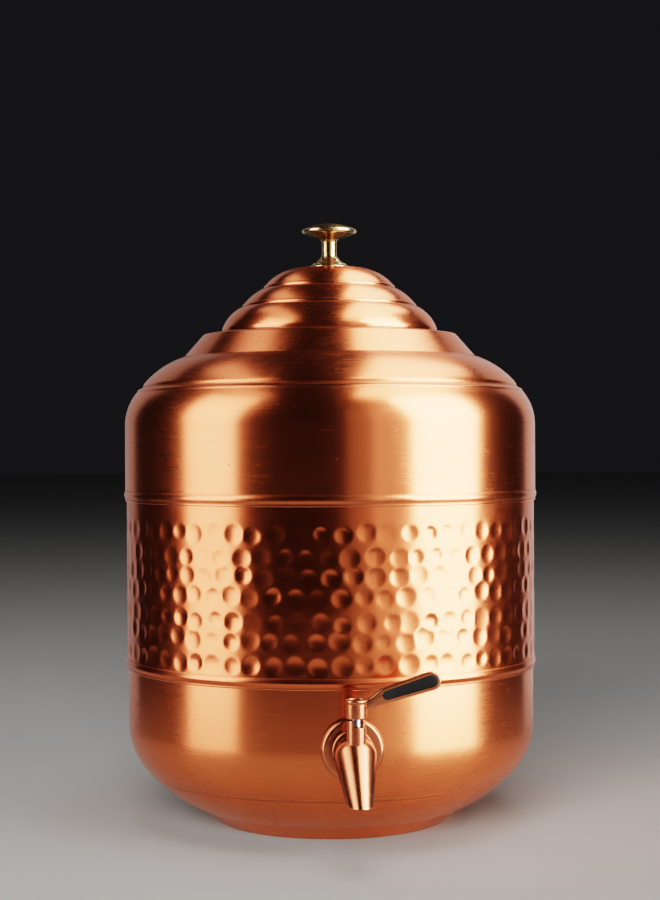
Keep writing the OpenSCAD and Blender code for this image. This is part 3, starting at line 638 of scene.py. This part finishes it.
drum = {
    "sheet": 1.0,
    "beadRise": 4.4, "beadRound": 4.8, "beadProud": 0.7, "beadEase": 1.25,
    "baseTurn": 44.5, "baseTurnAngle": 48.0,
    "dish": 100.0, "dishAngles": (43.0, 65.0),
    "floorCorner": 8.0,
    "shoulderWall": 51.3, "shoulderTurn": 35.0, "shoulderTurnAngle": 45.0,
    "domeAngles": (36.0, 72.0), "domeTail": 5.0,
    # a rolled crease: its bulge and its groove, each a height, a distance and a half width
    "baseCrease": ((0.30, 1.4, 1.3), (0.45, -1.4, 1.6)),
    "domeCrease": ((0.42, -1.3, 1.3), (0.75, 1.8, 1.9)),
    "creaseReach": 7.0,
    "round": 360,         # steps round the drum
}
beadHalf = math.sqrt(drum["beadRound"] ** 2 - (drum["beadRound"] - drum["beadProud"]) ** 2)
halfSheet = drum["sheet"] / 2


def bead(height, centre):
    # the bead's bulge at a height: its rise times the square of one minus the squared distance
    # from its middle, which eases its two feet
    reach = np.clip(np.abs(height - centre) / (beadHalf * drum["beadEase"]), 0, 1)
    return drum["beadProud"] * (1 - reach ** 2) ** 2


def creased(line, place, roll, groove):
    # a rolled crease in a sheet's face: along the line, a small bulge ends at the place and a
    # groove follows it, each a bell curve (height, distance from the place, half width)
    steps = np.linalg.norm(np.diff(line, axis=0), axis=1)
    far = np.r_[0, np.cumsum(steps)]
    far -= far[np.argmin(np.linalg.norm(line - place, axis=1))]
    fine = np.unique(np.r_[far, np.linspace(-drum["creaseReach"], drum["creaseReach"], 57)])
    fine = fine[(fine >= far[0]) & (fine <= far[-1])]
    path = np.stack([np.interp(fine, far, line[:, 0]), np.interp(fine, far, line[:, 1])], 1)
    lift = roll[0] * np.exp(-((fine - roll[1]) / roll[2]) ** 2)
    lift -= groove[0] * np.exp(-((fine - groove[1]) / groove[2]) ** 2)
    return path - leftNormals(path) * lift[:, None]


lowSeam = boxOf("hammered_band")[0][2]
highSeam = boxOf("shoulder_shell")[0][2]
bandTop = boxOf("hammered_band")[1][2]
bodyRadius = boxOf("shoulder_shell")[1][0] - drum["beadProud"]
bandRadius = bodyRadius - drum["sheet"]
panRadius = bandRadius - drum["sheet"]
panFloor = boxOf("base_pan")[0][2]
panTop = boxOf("base_pan")[1][2]


def basePanOutline():
    # from the floor plate's middle out and up: corner, shallow dish, crease, turn and wall, as
    # arcs that meet where each one's angle ends
    a0, a1 = drum["dishAngles"]
    corner, dish, turn = drum["floorCorner"], drum["dish"], drum["baseTurn"]
    wallFoot = panFloor + corner * (1 - onCircle(a1)[1])
    wallFoot += dish * (onCircle(a1)[1] - onCircle(a0)[1])
    wallFoot += turn * onCircle(drum["baseTurnAngle"])[1]
    c0 = np.array([panRadius, wallFoot]) - turn * onCircle(0)
    p1 = c0 + turn * onCircle(-drum["baseTurnAngle"])
    c1 = p1 - dish * onCircle(-a0)
    c2 = c1 + dish * onCircle(-a1) - corner * onCircle(-a1)
    face = joined([[0, panFloor]], arc(c2, corner, -90, -a1, 10), arc(c1, dish, -a1, -a0, 26),
                  arc(c0, turn, -drum["baseTurnAngle"], 0, 30), [[panRadius, panTop]])
    return creased(spaced(face, 3.0), p1, *drum["baseCrease"])


basePan = turned("basePan", shellOutline(basePanOutline(), drum["sheet"], (False, True)),
                 drum["round"], closed=False)
fitted(basePan, "copperSatin", "vessel", "copper_satin", "base_pan")

foot = {"topWidth": 4.2, "slope": 50.0, "edge": 2.4, "flat": 1.6, "heel": 0.8}


def footOutline():
    # a bent ring: sloping outer side, rounded bottom edge, a narrow flat and an inner heel
    top = boxOf("foot_ring")[1]
    slope = math.radians(foot["slope"])
    side = foot["edge"] * (1 - math.sin(slope))
    edge = np.array([top[0] - (top[2] - side) * math.tan(slope), side])
    centre = edge + foot["edge"] * np.array([-math.cos(slope), math.sin(slope)])
    flatEnd = centre[0] - foot["flat"]
    heel = arc((flatEnd, foot["heel"]), foot["heel"], -90, -180, 6)
    return joined([[top[0], top[2]]], arc(centre, foot["edge"], -foot["slope"], -90, 9), heel,
                  [[flatEnd - foot["heel"], foot["edge"]], [top[0] - foot["topWidth"], top[2]]])


fitted(turned("footRing", footOutline(), drum["round"]), "copperSatin", "vessel",
       "copper_satin", "foot_ring")

hammering = {
    "rows": 7, "perRow": 62,
    "firstRow": 95.4, "pitch": 13.35,   # heights above the band's lower edge
    "zone": (9.0, 103.0),               # where the band is finely divided
    "size": 6.1, "depth": 0.54,         # radius and depth of a dent
    "sizeSpread": 0.09, "tallSpread": 0.04, "depthSpread": 0.25,
    "placeSpread": 0.7, "rowSpread": 0.5,
    "rim": 13.0, "rimEase": 0.6,        # how crisp the rim is, and how far it is eased
    "round": 760,
    "seed": 11,
}


def dents():
    # every dent's own size, depth and place, and the function that moves the face in by them
    rng = np.random.default_rng(hammering["seed"])
    rows, per = hammering["rows"], hammering["perRow"]
    pitch = 2 * np.pi / per
    start = rng.uniform(0, pitch, rows)
    shift = rng.normal(0, hammering["placeSpread"], (rows, per)) / bandRadius
    drop = rng.normal(0, hammering["placeSpread"], (rows, per))
    size = hammering["size"] * (1 + rng.normal(0, hammering["sizeSpread"], (rows, per)))
    tall = size * (1 + rng.normal(0, hammering["tallSpread"], (rows, per)))
    deep = hammering["depth"] * (1 + rng.normal(0, hammering["depthSpread"], (rows, per)))
    rowSag = rng.normal(0, hammering["rowSpread"], rows)

    def lift(angle, radius, height):
        # every dent is a shallow bowl: depth times one minus the squared distance from its
        # middle in radii, eased to nothing at the rim by a soft maximum
        a, z = np.broadcast_arrays(angle, height)
        total = np.zeros(a.shape)
        outer = np.broadcast_to(radius, a.shape) > bandRadius - halfSheet
        k = hammering["rim"]
        for r in range(rows):
            middle = lowSeam + hammering["firstRow"] - r * hammering["pitch"] + rowSag[r]
            column = np.round((a - start[r]) / pitch).astype(int) % per
            off = (a - start[r] - column * pitch - shift[r, column] + np.pi) % (2 * np.pi) - np.pi
            across = off * bandRadius / size[r, column]
            up = (z - middle - drop[r, column]) / tall[r, column]
            bowl = np.logaddexp(0, k * (1 - across ** 2 - up ** 2)) / k
            bowl -= np.log1p(np.exp(-k * hammering["rimEase"])) / k
            total = np.maximum(total, deep[r, column] * np.clip(bowl, 0, None))
        return np.where(outer, -total, 0.0)
    return lift


def bandOutline():
    # an upright strip, finely divided where the dents are, with a bead near its foot and
    # half-round edges
    low, high, h = lowSeam, bandTop, halfSheet
    start, stop = low + hammering["zone"][0], low + hammering["zone"][1]
    z = np.r_[np.linspace(low + h, start, 20), np.linspace(start, stop, 94)[1:],
              np.linspace(stop, high - h, 6)[1:]]
    face = np.stack([bandRadius + bead(z, low + drum["beadRise"]), z], 1)
    wall = np.stack([np.full(8, bandRadius - 2 * h), np.linspace(high - h, low + h, 8)], 1)
    middle = bandRadius - h
    return joined(face, arc((middle, high - h), h, 30, 150, 5), wall,
                  arc((middle, low + h), h, 210, 330, 5))


hammeredBand = turned("hammeredBand", bandOutline(), hammering["round"], lift=dents(), sharpAngle=60.0)
fitted(hammeredBand, "copperHammered", "vessel", "copper_hammered", "hammered_band")
print("base, foot and hammered band made")


neck = {
    "mouth": 70.0, "sheet": 1.2,
    "tuck": 4.5, "rise": 14.2, "slope": 41.0, "edge": 3.0,
    "land": 82.0, "landWidth": 12.8, "lipRoll": 2.2, "lip": 10.0,
}
neckTan = math.tan(math.radians(neck["slope"]))
rollRadius = neck["mouth"] + neck["lipRoll"] * (1 + onCircle(neck["land"])[0])
neckFoot = rollRadius + neck["landWidth"]
neckFoot += neck["edge"] * (onCircle(neck["slope"])[0] - onCircle(neck["land"])[0])
neckFoot += neck["rise"] * neckTan


def domeOutline():
    # wall with its bead, the turn, and the dome up to where it tucks under the neck, as arcs
    turn, first = drum["shoulderTurn"], drum["shoulderTurnAngle"]
    a0, a1 = drum["domeAngles"]
    c0 = np.array([bodyRadius, highSeam + drum["shoulderWall"]]) - turn * onCircle(0)
    p1 = c0 + turn * onCircle(first)
    domeRadius = (p1[0] - neckFoot) / (onCircle(a0)[0] - onCircle(a1)[0])
    dome = arc(p1 - domeRadius * onCircle(a0), domeRadius, a0, a1, 26)
    ahead = np.array([-onCircle(a1)[1], onCircle(a1)[0]])
    tail = dome[-1] + np.linspace(0, 1, 3)[1:, None] * drum["domeTail"] * ahead
    beadTop = highSeam + hammering["zone"][0]
    z = np.r_[np.linspace(highSeam + halfSheet, beadTop, 20), np.linspace(beadTop, c0[1], 14)[1:]]
    wall = np.stack([bodyRadius + bead(z, highSeam + drum["beadRise"]), z], 1)
    face = joined(wall, arc(c0, turn, 0, first, 26), dome, tail)
    return creased(face, p1, *drum["domeCrease"]), dome[-1]


def neckOutline(foot0):
    # the tucked foot, a cone, a rounded edge, a nearly flat land, and the lip rolled down
    p0 = foot0 + neck["tuck"] * np.array([neckTan, -1])
    p1 = foot0 + neck["rise"] * np.array([-neckTan, 1])
    c1 = p1 - neck["edge"] * onCircle(neck["slope"])
    edge = arc(c1, neck["edge"], neck["slope"], neck["land"], 9)
    p3 = edge[-1] + neck["landWidth"] * np.array([-1, 1 / math.tan(math.radians(neck["land"]))])
    c3 = p3 - neck["lipRoll"] * onCircle(neck["land"])
    roll = arc(c3, neck["lipRoll"], neck["land"], 180, 12)
    return joined([p0], [foot0], [p1], edge, spaced(np.array([edge[-1], p3]), 3.0), roll,
                  [roll[-1] - [0, neck["lip"] / 2]], [roll[-1] - [0, neck["lip"]]])


domeFace, domeEnd = domeOutline()
fitted(turned("shoulderShell", shellOutline(domeFace, drum["sheet"]), drum["round"]),
       "copperSatin", "vessel", "copper_satin", "shoulder_shell")
fitted(turned("neckCollar", shellOutline(neckOutline(domeEnd), neck["sheet"]), drum["round"]),
       "copperSatin", "vessel", "copper_satin", "neck_collar")
print("shoulder and neck made")

lid = {
    "sheet": 0.9, "rimHeight": 1.8, "rimStraight": 0.6,
    "steps": ((26.7, 19.0, 64.0), (37.5, 34.0, 64.0)),   # radius, first and last angle
    "lastStart": 34.0, "top": 19.5,
    "crease": ((0.22, 1.5, 0.9), (0.30, -0.2, 0.8)),
    "round": 300,
}


def lidOutline():
    # an upright rim and three curved steps, each an arc that eases into the next through a
    # small crease
    low, high = boxOf("lid_shell")
    rim, rise = high[0], lid["rimHeight"]
    line = [np.array([[rim, low[2]], [rim, low[2] + rise * lid["rimStraight"]]])]
    joints = []
    p = np.array([rim, low[2] + rise])
    for radius, start, stop in lid["steps"]:
        line.append(arc(p - radius * onCircle(start), radius, start, stop, 22))
        p = line[-1][-1]
        joints.append(p)
    last = (p[0] - lid["top"]) / onCircle(lid["lastStart"])[0]
    line.append(arc(p - last * onCircle(lid["lastStart"]), last, lid["lastStart"], 90, 26))
    line.append([[0, high[2]]])
    face = spaced(joined(*line), 1.6)
    for joint in joints:
        face = creased(face, joint, *lid["crease"])
    return face


fitted(turned("lidShell", shellOutline(lidOutline(), lid["sheet"], (True, False)),
              lid["round"], closed=False), "copperSatin", "lid", "copper_satin", "lid_shell")

knob = {
    "stem": 5.0, "disc": 18.8, "crown": 42.0, "crownEdge": 1.0,
    "foot": ((0.4, 0.0), (0.25, 0.6), (0.0, 1.6)),   # past the stem, above the rose
    "cove": 3.0, "stemTop": 11.4, "flare": (5.6, 1.7),
    "rim": ((-1.4, -7.1), (0.0, -5.9), (-0.2, -4.6)),   # past the disc, above the top
    "soft": (2.0, 2.4, 0.7, 0.5),
    "roseHeight": 8.0, "roseRim": 1.1,
    # the rose's steps: share of its radius and of its height, then of its height past the stem
    "roseSteps": ((0.84, 0.30), (0.78, 0.42), (0.62, 0.50), (0.57, 0.62)),
    "roseNeck": ((1.5, 0.80), (0.9, 0.93), (0.5, 1.0)),
    "roseSoft": (0.2, 0.5, 1.4, 0.6, 0.7, 0.6, 1.2, 0.5, 0.2),
    "round": 128,
}


def knobOutline():
    # from the rose up: stem with a cove at each end, the saucer's underside, a soft rim and
    # a low crown, which is an arc
    low, high = boxOf("knob")
    s, d, z0, z1 = knob["stem"], knob["disc"], low[2], high[2]
    stemTop = z1 - knob["stemTop"]
    foot0 = [[0, z0]] + [[s + past, z0 + up] for past, up in knob["foot"]]
    rim = [[d + past, z1 + up] for past, up in knob["rim"]]
    under = rounded([[s, z0 + knob["cove"]], [s, stemTop],
                     [s + knob["flare"][0], stemTop + knob["flare"][1]]] + rim, knob["soft"], 9)
    a0 = math.degrees(math.acos((d - knob["crownEdge"]) / knob["crown"]))
    return joined(foot0, under, arc((0, z1 - knob["crown"]), knob["crown"], a0, 90, 20))


def roseOutline():
    # a low turned base in steps that shrink to the stem, with soft corners
    low, high = boxOf("knob_rose")
    r, z, h = high[0], low[2], knob["roseHeight"]
    corners = [[0, z], [r, z], [r, z + knob["roseRim"]]]
    corners += [[a * r, z + b * h] for a, b in knob["roseSteps"]]
    corners += [[knob["stem"] + a, z + b * h] for a, b in knob["roseNeck"]]
    return rounded(corners + [[0, z + h]], knob["roseSoft"], 6)


fitted(turned("knobTurned", knobOutline(), knob["round"], closed=False), "brass", "lid",
       "brass_turned", "knob")
fitted(turned("knobRose", roseOutline(), knob["round"], closed=False), "brass", "lid",
       "brass_turned", "knob_rose")
print("lid and knob made")

tap = {
    "round": 96,
    "bore": 8.0, "flangeEdge": 1.2, "flangeBevel": 1.3, "flangeFace": (2.5, 0.15),
    "flangeSoft": (0.25, 0.5, 1.1, 1.2),
    "barrel": 12.1, "barrelBore": 7.0, "collar": 0.8, "collarEnds": (1.4, 2.1),
    "barrelSoft": (0.15, 0.6, 0.5, 0.1),
    "bulb": 13.0, "bulbAhead": 2.0, "bulbDrop": 1.7,
    "slope": 41.6, "endRadius": 7.3, "wall": 2.1, "boreStart": 14.0,
    "edge": 0.45, "lipWear": 0.8,
}
flangeLow, flangeHigh = boxOf("tap_flange")
tapZ = seat["tapZ"]
flangeBack, flangeFront = -flangeHigh[1], -flangeLow[1]
flangeRadius = flangeHigh[0]
bulbY = flangeFront + tap["bulbAhead"] + tap["bulb"]
bulbZ = tapZ - tap["bulbDrop"]
outletZ = boxOf("tap_body")[0][2]


def acrossTap(start):
    # local Z runs outward along -Y from a distance along the tap's axis
    def place(points):
        return np.stack([points[..., 0], -(start + points[..., 2]), tapZ + points[..., 1]], -1)
    return place


def flangeOutline():
    # a flat washer with a bevelled rim and a face that falls off towards it
    thick = flangeFront - flangeBack
    bevel = flangeRadius - tap["flangeBevel"]
    corners = [[tap["bore"], 0], [flangeRadius, 0], [flangeRadius, tap["flangeEdge"]],
               [bevel, thick - tap["flangeFace"][1]], [bevel - tap["flangeFace"][0], thick],
               [tap["bore"], thick]]
    return rounded(corners, tap["flangeSoft"], 8)


fitted(turned("tapFlange", flangeOutline(), tap["round"] * 2, place=acrossTap(flangeBack)),
       "tapAcross", "vessel", "copper_tap", "tap_flange")


def barrelOutline():
    # a plain tube with a low collar where it meets the flange
    r, bore = tap["barrel"], tap["barrelBore"]
    length = bulbY - flangeFront
    wide = r + tap["collar"]
    corners = [[bore, 0], [wide, 0], [wide, tap["collarEnds"][0]], [r, tap["collarEnds"][1]],
               [r, length], [bore, length]]
    return rounded(corners, tap["barrelSoft"], 6)


def spoutGrid():
    # a bulb that runs out into a cone along a sloping axis. Each line of the cone, inside and
    # out, stops where it meets the level cut, and the lip between them is rounded
    axis = np.array([0, -onCircle(tap["slope"])[0], -onCircle(tap["slope"])[1]])
    side = np.array([1.0, 0, 0])
    up = np.cross(axis, side)
    length = (outletZ - tapZ) / axis[2]
    taper = math.asin((tap["bulb"] - tap["endRadius"]) / length)
    t0, r0 = tap["bulb"] * math.sin(taper), tap["bulb"] * math.cos(taper)
    fall = math.tan(taper)
    count, e = tap["round"], tap["edge"]
    u = np.arange(count) / count * 2 * np.pi
    out = np.cos(u)[:, None] * side + np.sin(u)[:, None] * up
    centre = np.array([0, -bulbY, bulbZ])

    def lineEnd(radius, slopeIn):
        # where a line that starts at this radius and narrows by slopeIn meets the cut
        return (outletZ - centre[2] - (radius + slopeIn * t0) * out[:, 2]) / (
            axis[2] - slopeIn * out[:, 2])

    def at(t, r):
        return centre + t[..., None] * axis + r[..., None] * out[:, None, :]

    def unitOf(vectors):
        return vectors / np.linalg.norm(vectors, axis=1, keepdims=True)

    def lip(corner, a, b):
        q = np.linspace(0, 1, 6)[None, :, None]
        return (1 - q) ** 2 * a[:, None] + 2 * q * (1 - q) * corner[:, None] + q ** 2 * b[:, None]

    angle = np.repeat(np.linspace(-np.pi / 2, taper, 30)[None], count, 0)
    bulb = at(tap["bulb"] * np.sin(angle), tap["bulb"] * np.cos(angle))
    tEnd = lineEnd(r0, fall)[:, None]
    t = t0 + np.linspace(0, 1, 40)[1:][None] * (tEnd - t0)
    cone = at(t, r0 - (t - t0) * fall)
    bore = tap["endRadius"] - tap["wall"]
    tBore = lineEnd(bore, 0.0)[:, None]
    tIn = tBore + np.linspace(0, 1, 12)[None] * (tap["boreStart"] - tBore)
    inner = at(tIn, np.full(tIn.shape, bore))
    outerEdge, innerEdge = cone[:, -1], inner[:, 0]
    back = unitOf(outerEdge - cone[:, -2])
    across = unitOf(innerEdge - outerEdge)
    first = lip(outerEdge, outerEdge - back * e * 1.6, outerEdge + across * e)
    second = lip(innerEdge, innerEdge - across * e, innerEdge - axis * e)
    short = np.minimum(t, tEnd - e * 2.2)   # the cone stops short, to leave room for its lip
    cone = at(short, r0 - (short - t0) * fall)
    pole = np.repeat((centre + tap["boreStart"] * axis)[None, None], count, 0)
    grid = np.concatenate([bulb, cone, first, second, inner[:, 1:], pole], 1)
    steps = np.linalg.norm(np.diff(grid, axis=1), axis=2)
    run = np.concatenate([np.zeros((count, 1)), np.cumsum(steps, 1)], 1) * mm
    wear = np.zeros(grid.shape[:2])
    lipStart = bulb.shape[1] + cone.shape[1]
    wear[:, lipStart:lipStart + first.shape[1]] = tap["lipWear"]
    return grid, run, wear


spoutPoints, spoutRun, spoutWear = spoutGrid()
spout = gridObject("tapSpout", spoutPoints, spoutRun,
                   marks={"wear": spoutWear, "crease": spoutWear * 0})
finish["tapSpout"] = metalMaterial("tapCopperSpout", dict(tapLook, lineReach=2.0),
                                   (0.0, -bulbY * mm, bulbZ * mm), 90.0 + tap["slope"], True)
fitted(spout, "tapSpout", "vessel", "copper_tap", "tap_body")
barrel = turned("tapBarrel", barrelOutline(), tap["round"], place=acrossTap(flangeFront))
fitted(barrel, "tapAcross", "vessel", "copper_tap", "tap_body")
print("tap made")

lever = {
    "thick": 4.6, "length": 51.4, "slope": 16.5, "tip": 5.7, "root": 4.7,
    "rootReach": 18.6, "rootRise": 2.6,
    "rim": 1.95, "pocket": 1.6, "pocketLip": (0.12, 0.15),
    "edge": 0.95, "backEdge": 0.7,
    "hub": 6.5, "hubHeight": 11.3, "hubOverCap": 0.4, "lipOut": 0.35, "hubBore": 3.1,
    # the web from the paddle to the hub: past the hub's side, and above its top
    "web": ((0.5, -5.6), (-3.0, -5.8), (-3.0, -0.6), (0.6, -0.2)),
    "webTop": (-4.5, 3.1), "webSoft": (1.2, 0.4, 0.4, 1.8, 4.0),
    "points": (24, 30, 40, 30),      # along the tip, lower line, root and upper line
}
pad = {"gap": 0.15, "round": 0.55, "proud": 0.2, "crown": 0.1, "points": (20, 26, 18, 26)}
capLow, capHigh = boxOf("hub_cap")
hubTop = capHigh[2] + lever["hubOverCap"]
hubBottom = hubTop - lever["hubHeight"]
rootPoint = np.array([lever["rootReach"], hubTop + lever["rootRise"]])
tipRun = lever["length"] - lever["tip"] - lever["rootReach"]
tipPoint = rootPoint + tipRun * np.array([1.0, math.tan(math.radians(lever["slope"]))])


def paddleLoop(inset, counts):
    # the outline round two circles, moved in by an inset: tip arc, lower line, root arc and
    # upper line, each with its own number of points
    r1, r2 = lever["root"] - inset, lever["tip"] - inset
    run = tipPoint - rootPoint
    a = math.degrees(math.atan2(run[1], run[0]))
    lean = 90.0 + math.degrees(math.asin((r2 - r1) / np.linalg.norm(run)))
    tipArc = arc(tipPoint, r2, a + lean, a - lean, counts[0])
    rootArc = arc(rootPoint, r1, a - lean, a + lean - 360.0, counts[2])
    t1 = np.linspace(0, 1, counts[1] + 2)[1:-1, None]
    t2 = np.linspace(0, 1, counts[3] + 2)[1:-1, None]
    return np.concatenate([tipArc, tipArc[-1] + (rootArc[0] - tipArc[-1]) * t1, rootArc,
                           rootArc[-1] + (tipArc[0] - rootArc[-1]) * t2])


def leverLoop(counts):
    # the same outline, but its root runs on as a web into the hub
    plain = paddleLoop(0.0, counts)
    start = counts[0] + counts[1]
    stop = start + counts[2]
    web = [plain[start]] + [np.array([lever["hub"] + a, hubTop + b]) for a, b in lever["web"]]
    web = rounded(web + [rootPoint + lever["webTop"], plain[stop - 1]], lever["webSoft"], 9)
    gaps = np.r_[0, np.cumsum(np.linalg.norm(np.diff(web, axis=0), axis=1))]
    even = np.linspace(0, gaps[-1], counts[2])
    web = np.stack([np.interp(even, gaps, web[:, 0]), np.interp(even, gaps, web[:, 1])], 1)
    return np.concatenate([plain[:start], web, plain[stop:]])


def ringStack(rings):
    # closed loops stacked one on another, with a flat face at each end
    count, stack = len(rings[0]), len(rings)
    k, i = np.meshgrid(np.arange(stack - 1) * count, np.arange(count), indexing="ij")
    n = (i + 1) % count
    quads = np.stack([k + i, k + n, k + count + n, k + count + i], -1).reshape(-1, 4)
    ends = [list(range(count))[::-1], list(range((stack - 1) * count, stack * count))]
    return np.concatenate(rings), quads.tolist() + ends


def upright(loop, y):
    # an outline in x and z stood up at a distance y in front of or behind the stem's axis
    return np.stack([loop[:, 0], np.full(len(loop), -seat["stemY"] + y), loop[:, 1]], 1)


def movedIn(loop, distance):
    # a closed outline moved towards its inside
    along = np.roll(loop, -1, 0) - np.roll(loop, 1, 0)
    along /= np.linalg.norm(along, axis=1, keepdims=True)
    inward = np.stack([along[:, 1], -along[:, 0]], 1)
    return loop + inward * distance


def leverRings():
    # from the back face to the front: a rounded back edge, a rounded front edge, and the pocket
    # for the rubber, which goes in with a small lip
    counts = lever["points"]
    outer = leverLoop(counts)
    half, e, back = lever["thick"] / 2, lever["edge"], lever["backEdge"]
    rings, marks = [], []
    q = np.linspace(0, np.pi / 2, 7)
    for a in q:
        rings.append(upright(movedIn(outer, back * (1 - math.sin(a))),
                             half - back * (1 - math.cos(a))))
        marks.append(0.4)
    for a in q:
        rings.append(upright(movedIn(outer, e * (1 - math.cos(a))),
                             -half + e * (1 - math.sin(a))))
        marks.append(0.45 * math.sin(2 * a) + 0.1)
    lip, sink = lever["pocketLip"]
    for inset, y, mark in ((0.0, 0.0, 0.5), (lip, sink, 0.4), (lip, lever["pocket"], 0.0)):
        rings.append(upright(paddleLoop(lever["rim"] + inset, counts), -half + y))
        marks.append(mark)
    return rings, np.repeat(marks, len(outer))


leverStack, leverWear = leverRings()
leverPlate = makeObject("leverPaddle", *ringStack(leverStack), None,
                        {"wear": leverWear, "crease": leverWear * 0}, 40.0)
fitted(leverPlate, "tapPlain", "tap_handle", "copper_tap", "lever_handle")


def hubOutline():
    # a short tube with a rounded foot and a lip round the cap that closes it
    h, out, bore = lever["hub"], lever["lipOut"], lever["hubBore"]
    seatZ = capLow[2] + 0.1
    corners = [[bore, hubBottom], [h - 0.5, hubBottom], [h - 0.05, hubBottom + 0.5],
               [h, hubTop - 2.0], [h + out, hubTop - 1.3], [h + out, hubTop - 0.05],
               [h - 0.7, hubTop], [h - 1.0, seatZ], [bore, seatZ]]
    return rounded(corners, [0.3, 0.4, 0.6, 0.5, 0.35, 0.4, 0.1], 6)


def aroundStem(points):
    return points + [0, -seat["stemY"], 0]


hub = turned("leverHub", hubOutline(), tap["round"], place=aroundStem)
fitted(hub, "tapUpright", "tap_handle", "copper_tap", "lever_handle")


def padRings():
    # the rubber insert: its rim is rounded over, its face is slightly crowned, and its rings
    # shrink to the line between the two circles' centres
    half, counts = lever["thick"] / 2, pad["points"]
    tight = lever["rim"] + pad["gap"]
    rings = [upright(paddleLoop(tight, counts), -half + lever["pocket"] - 0.05)]
    for a in np.linspace(0, np.pi / 2, 6):
        rings.append(upright(paddleLoop(tight + pad["round"] * (1 - math.cos(a)), counts),
                             -half + 0.25 - (0.25 + pad["proud"]) * math.sin(a)))
    face = tight + pad["round"]
    for share in np.linspace(0.15, 0.95, 7):
        rings.append(upright(paddleLoop(face + share * (lever["root"] - face), counts),
                             -half - pad["proud"] - pad["crown"] * share))
    return rings


padPiece = makeObject("leverPad", *ringStack(padRings()), None, None, 50.0)
fitted(padPiece, "rubber", "tap_handle", "rubber_black", "lever_pad")
print("lever made")

# the CAD nodes that stay, each with its own finish
kept = {
    "outer_gasket": "rubber", "inner_gasket": "rubber", "stem_orings": "rubber",
    "shank_washer": "steelAcross", "shank_nut": "brassAcross", "tap_shank": "brassAcross",
    "bonnet": "tapUpright", "valve_plug": "steelUpright", "handle_screw": "steelUpright",
    "hub_cap": "tapUpright", "lid_collar": "copperInside", "knob_screw": "steel",
    "knob_washer": "steel",
}
for nodeName, finishName in kept.items():
    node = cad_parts[nodeName]
    if not node.material_slots:
        node.data.materials.append(finish[finishName])
    for materialSlot in node.material_slots:
        materialSlot.material = finish[finishName]
print("kept CAD nodes finished:", len(kept))
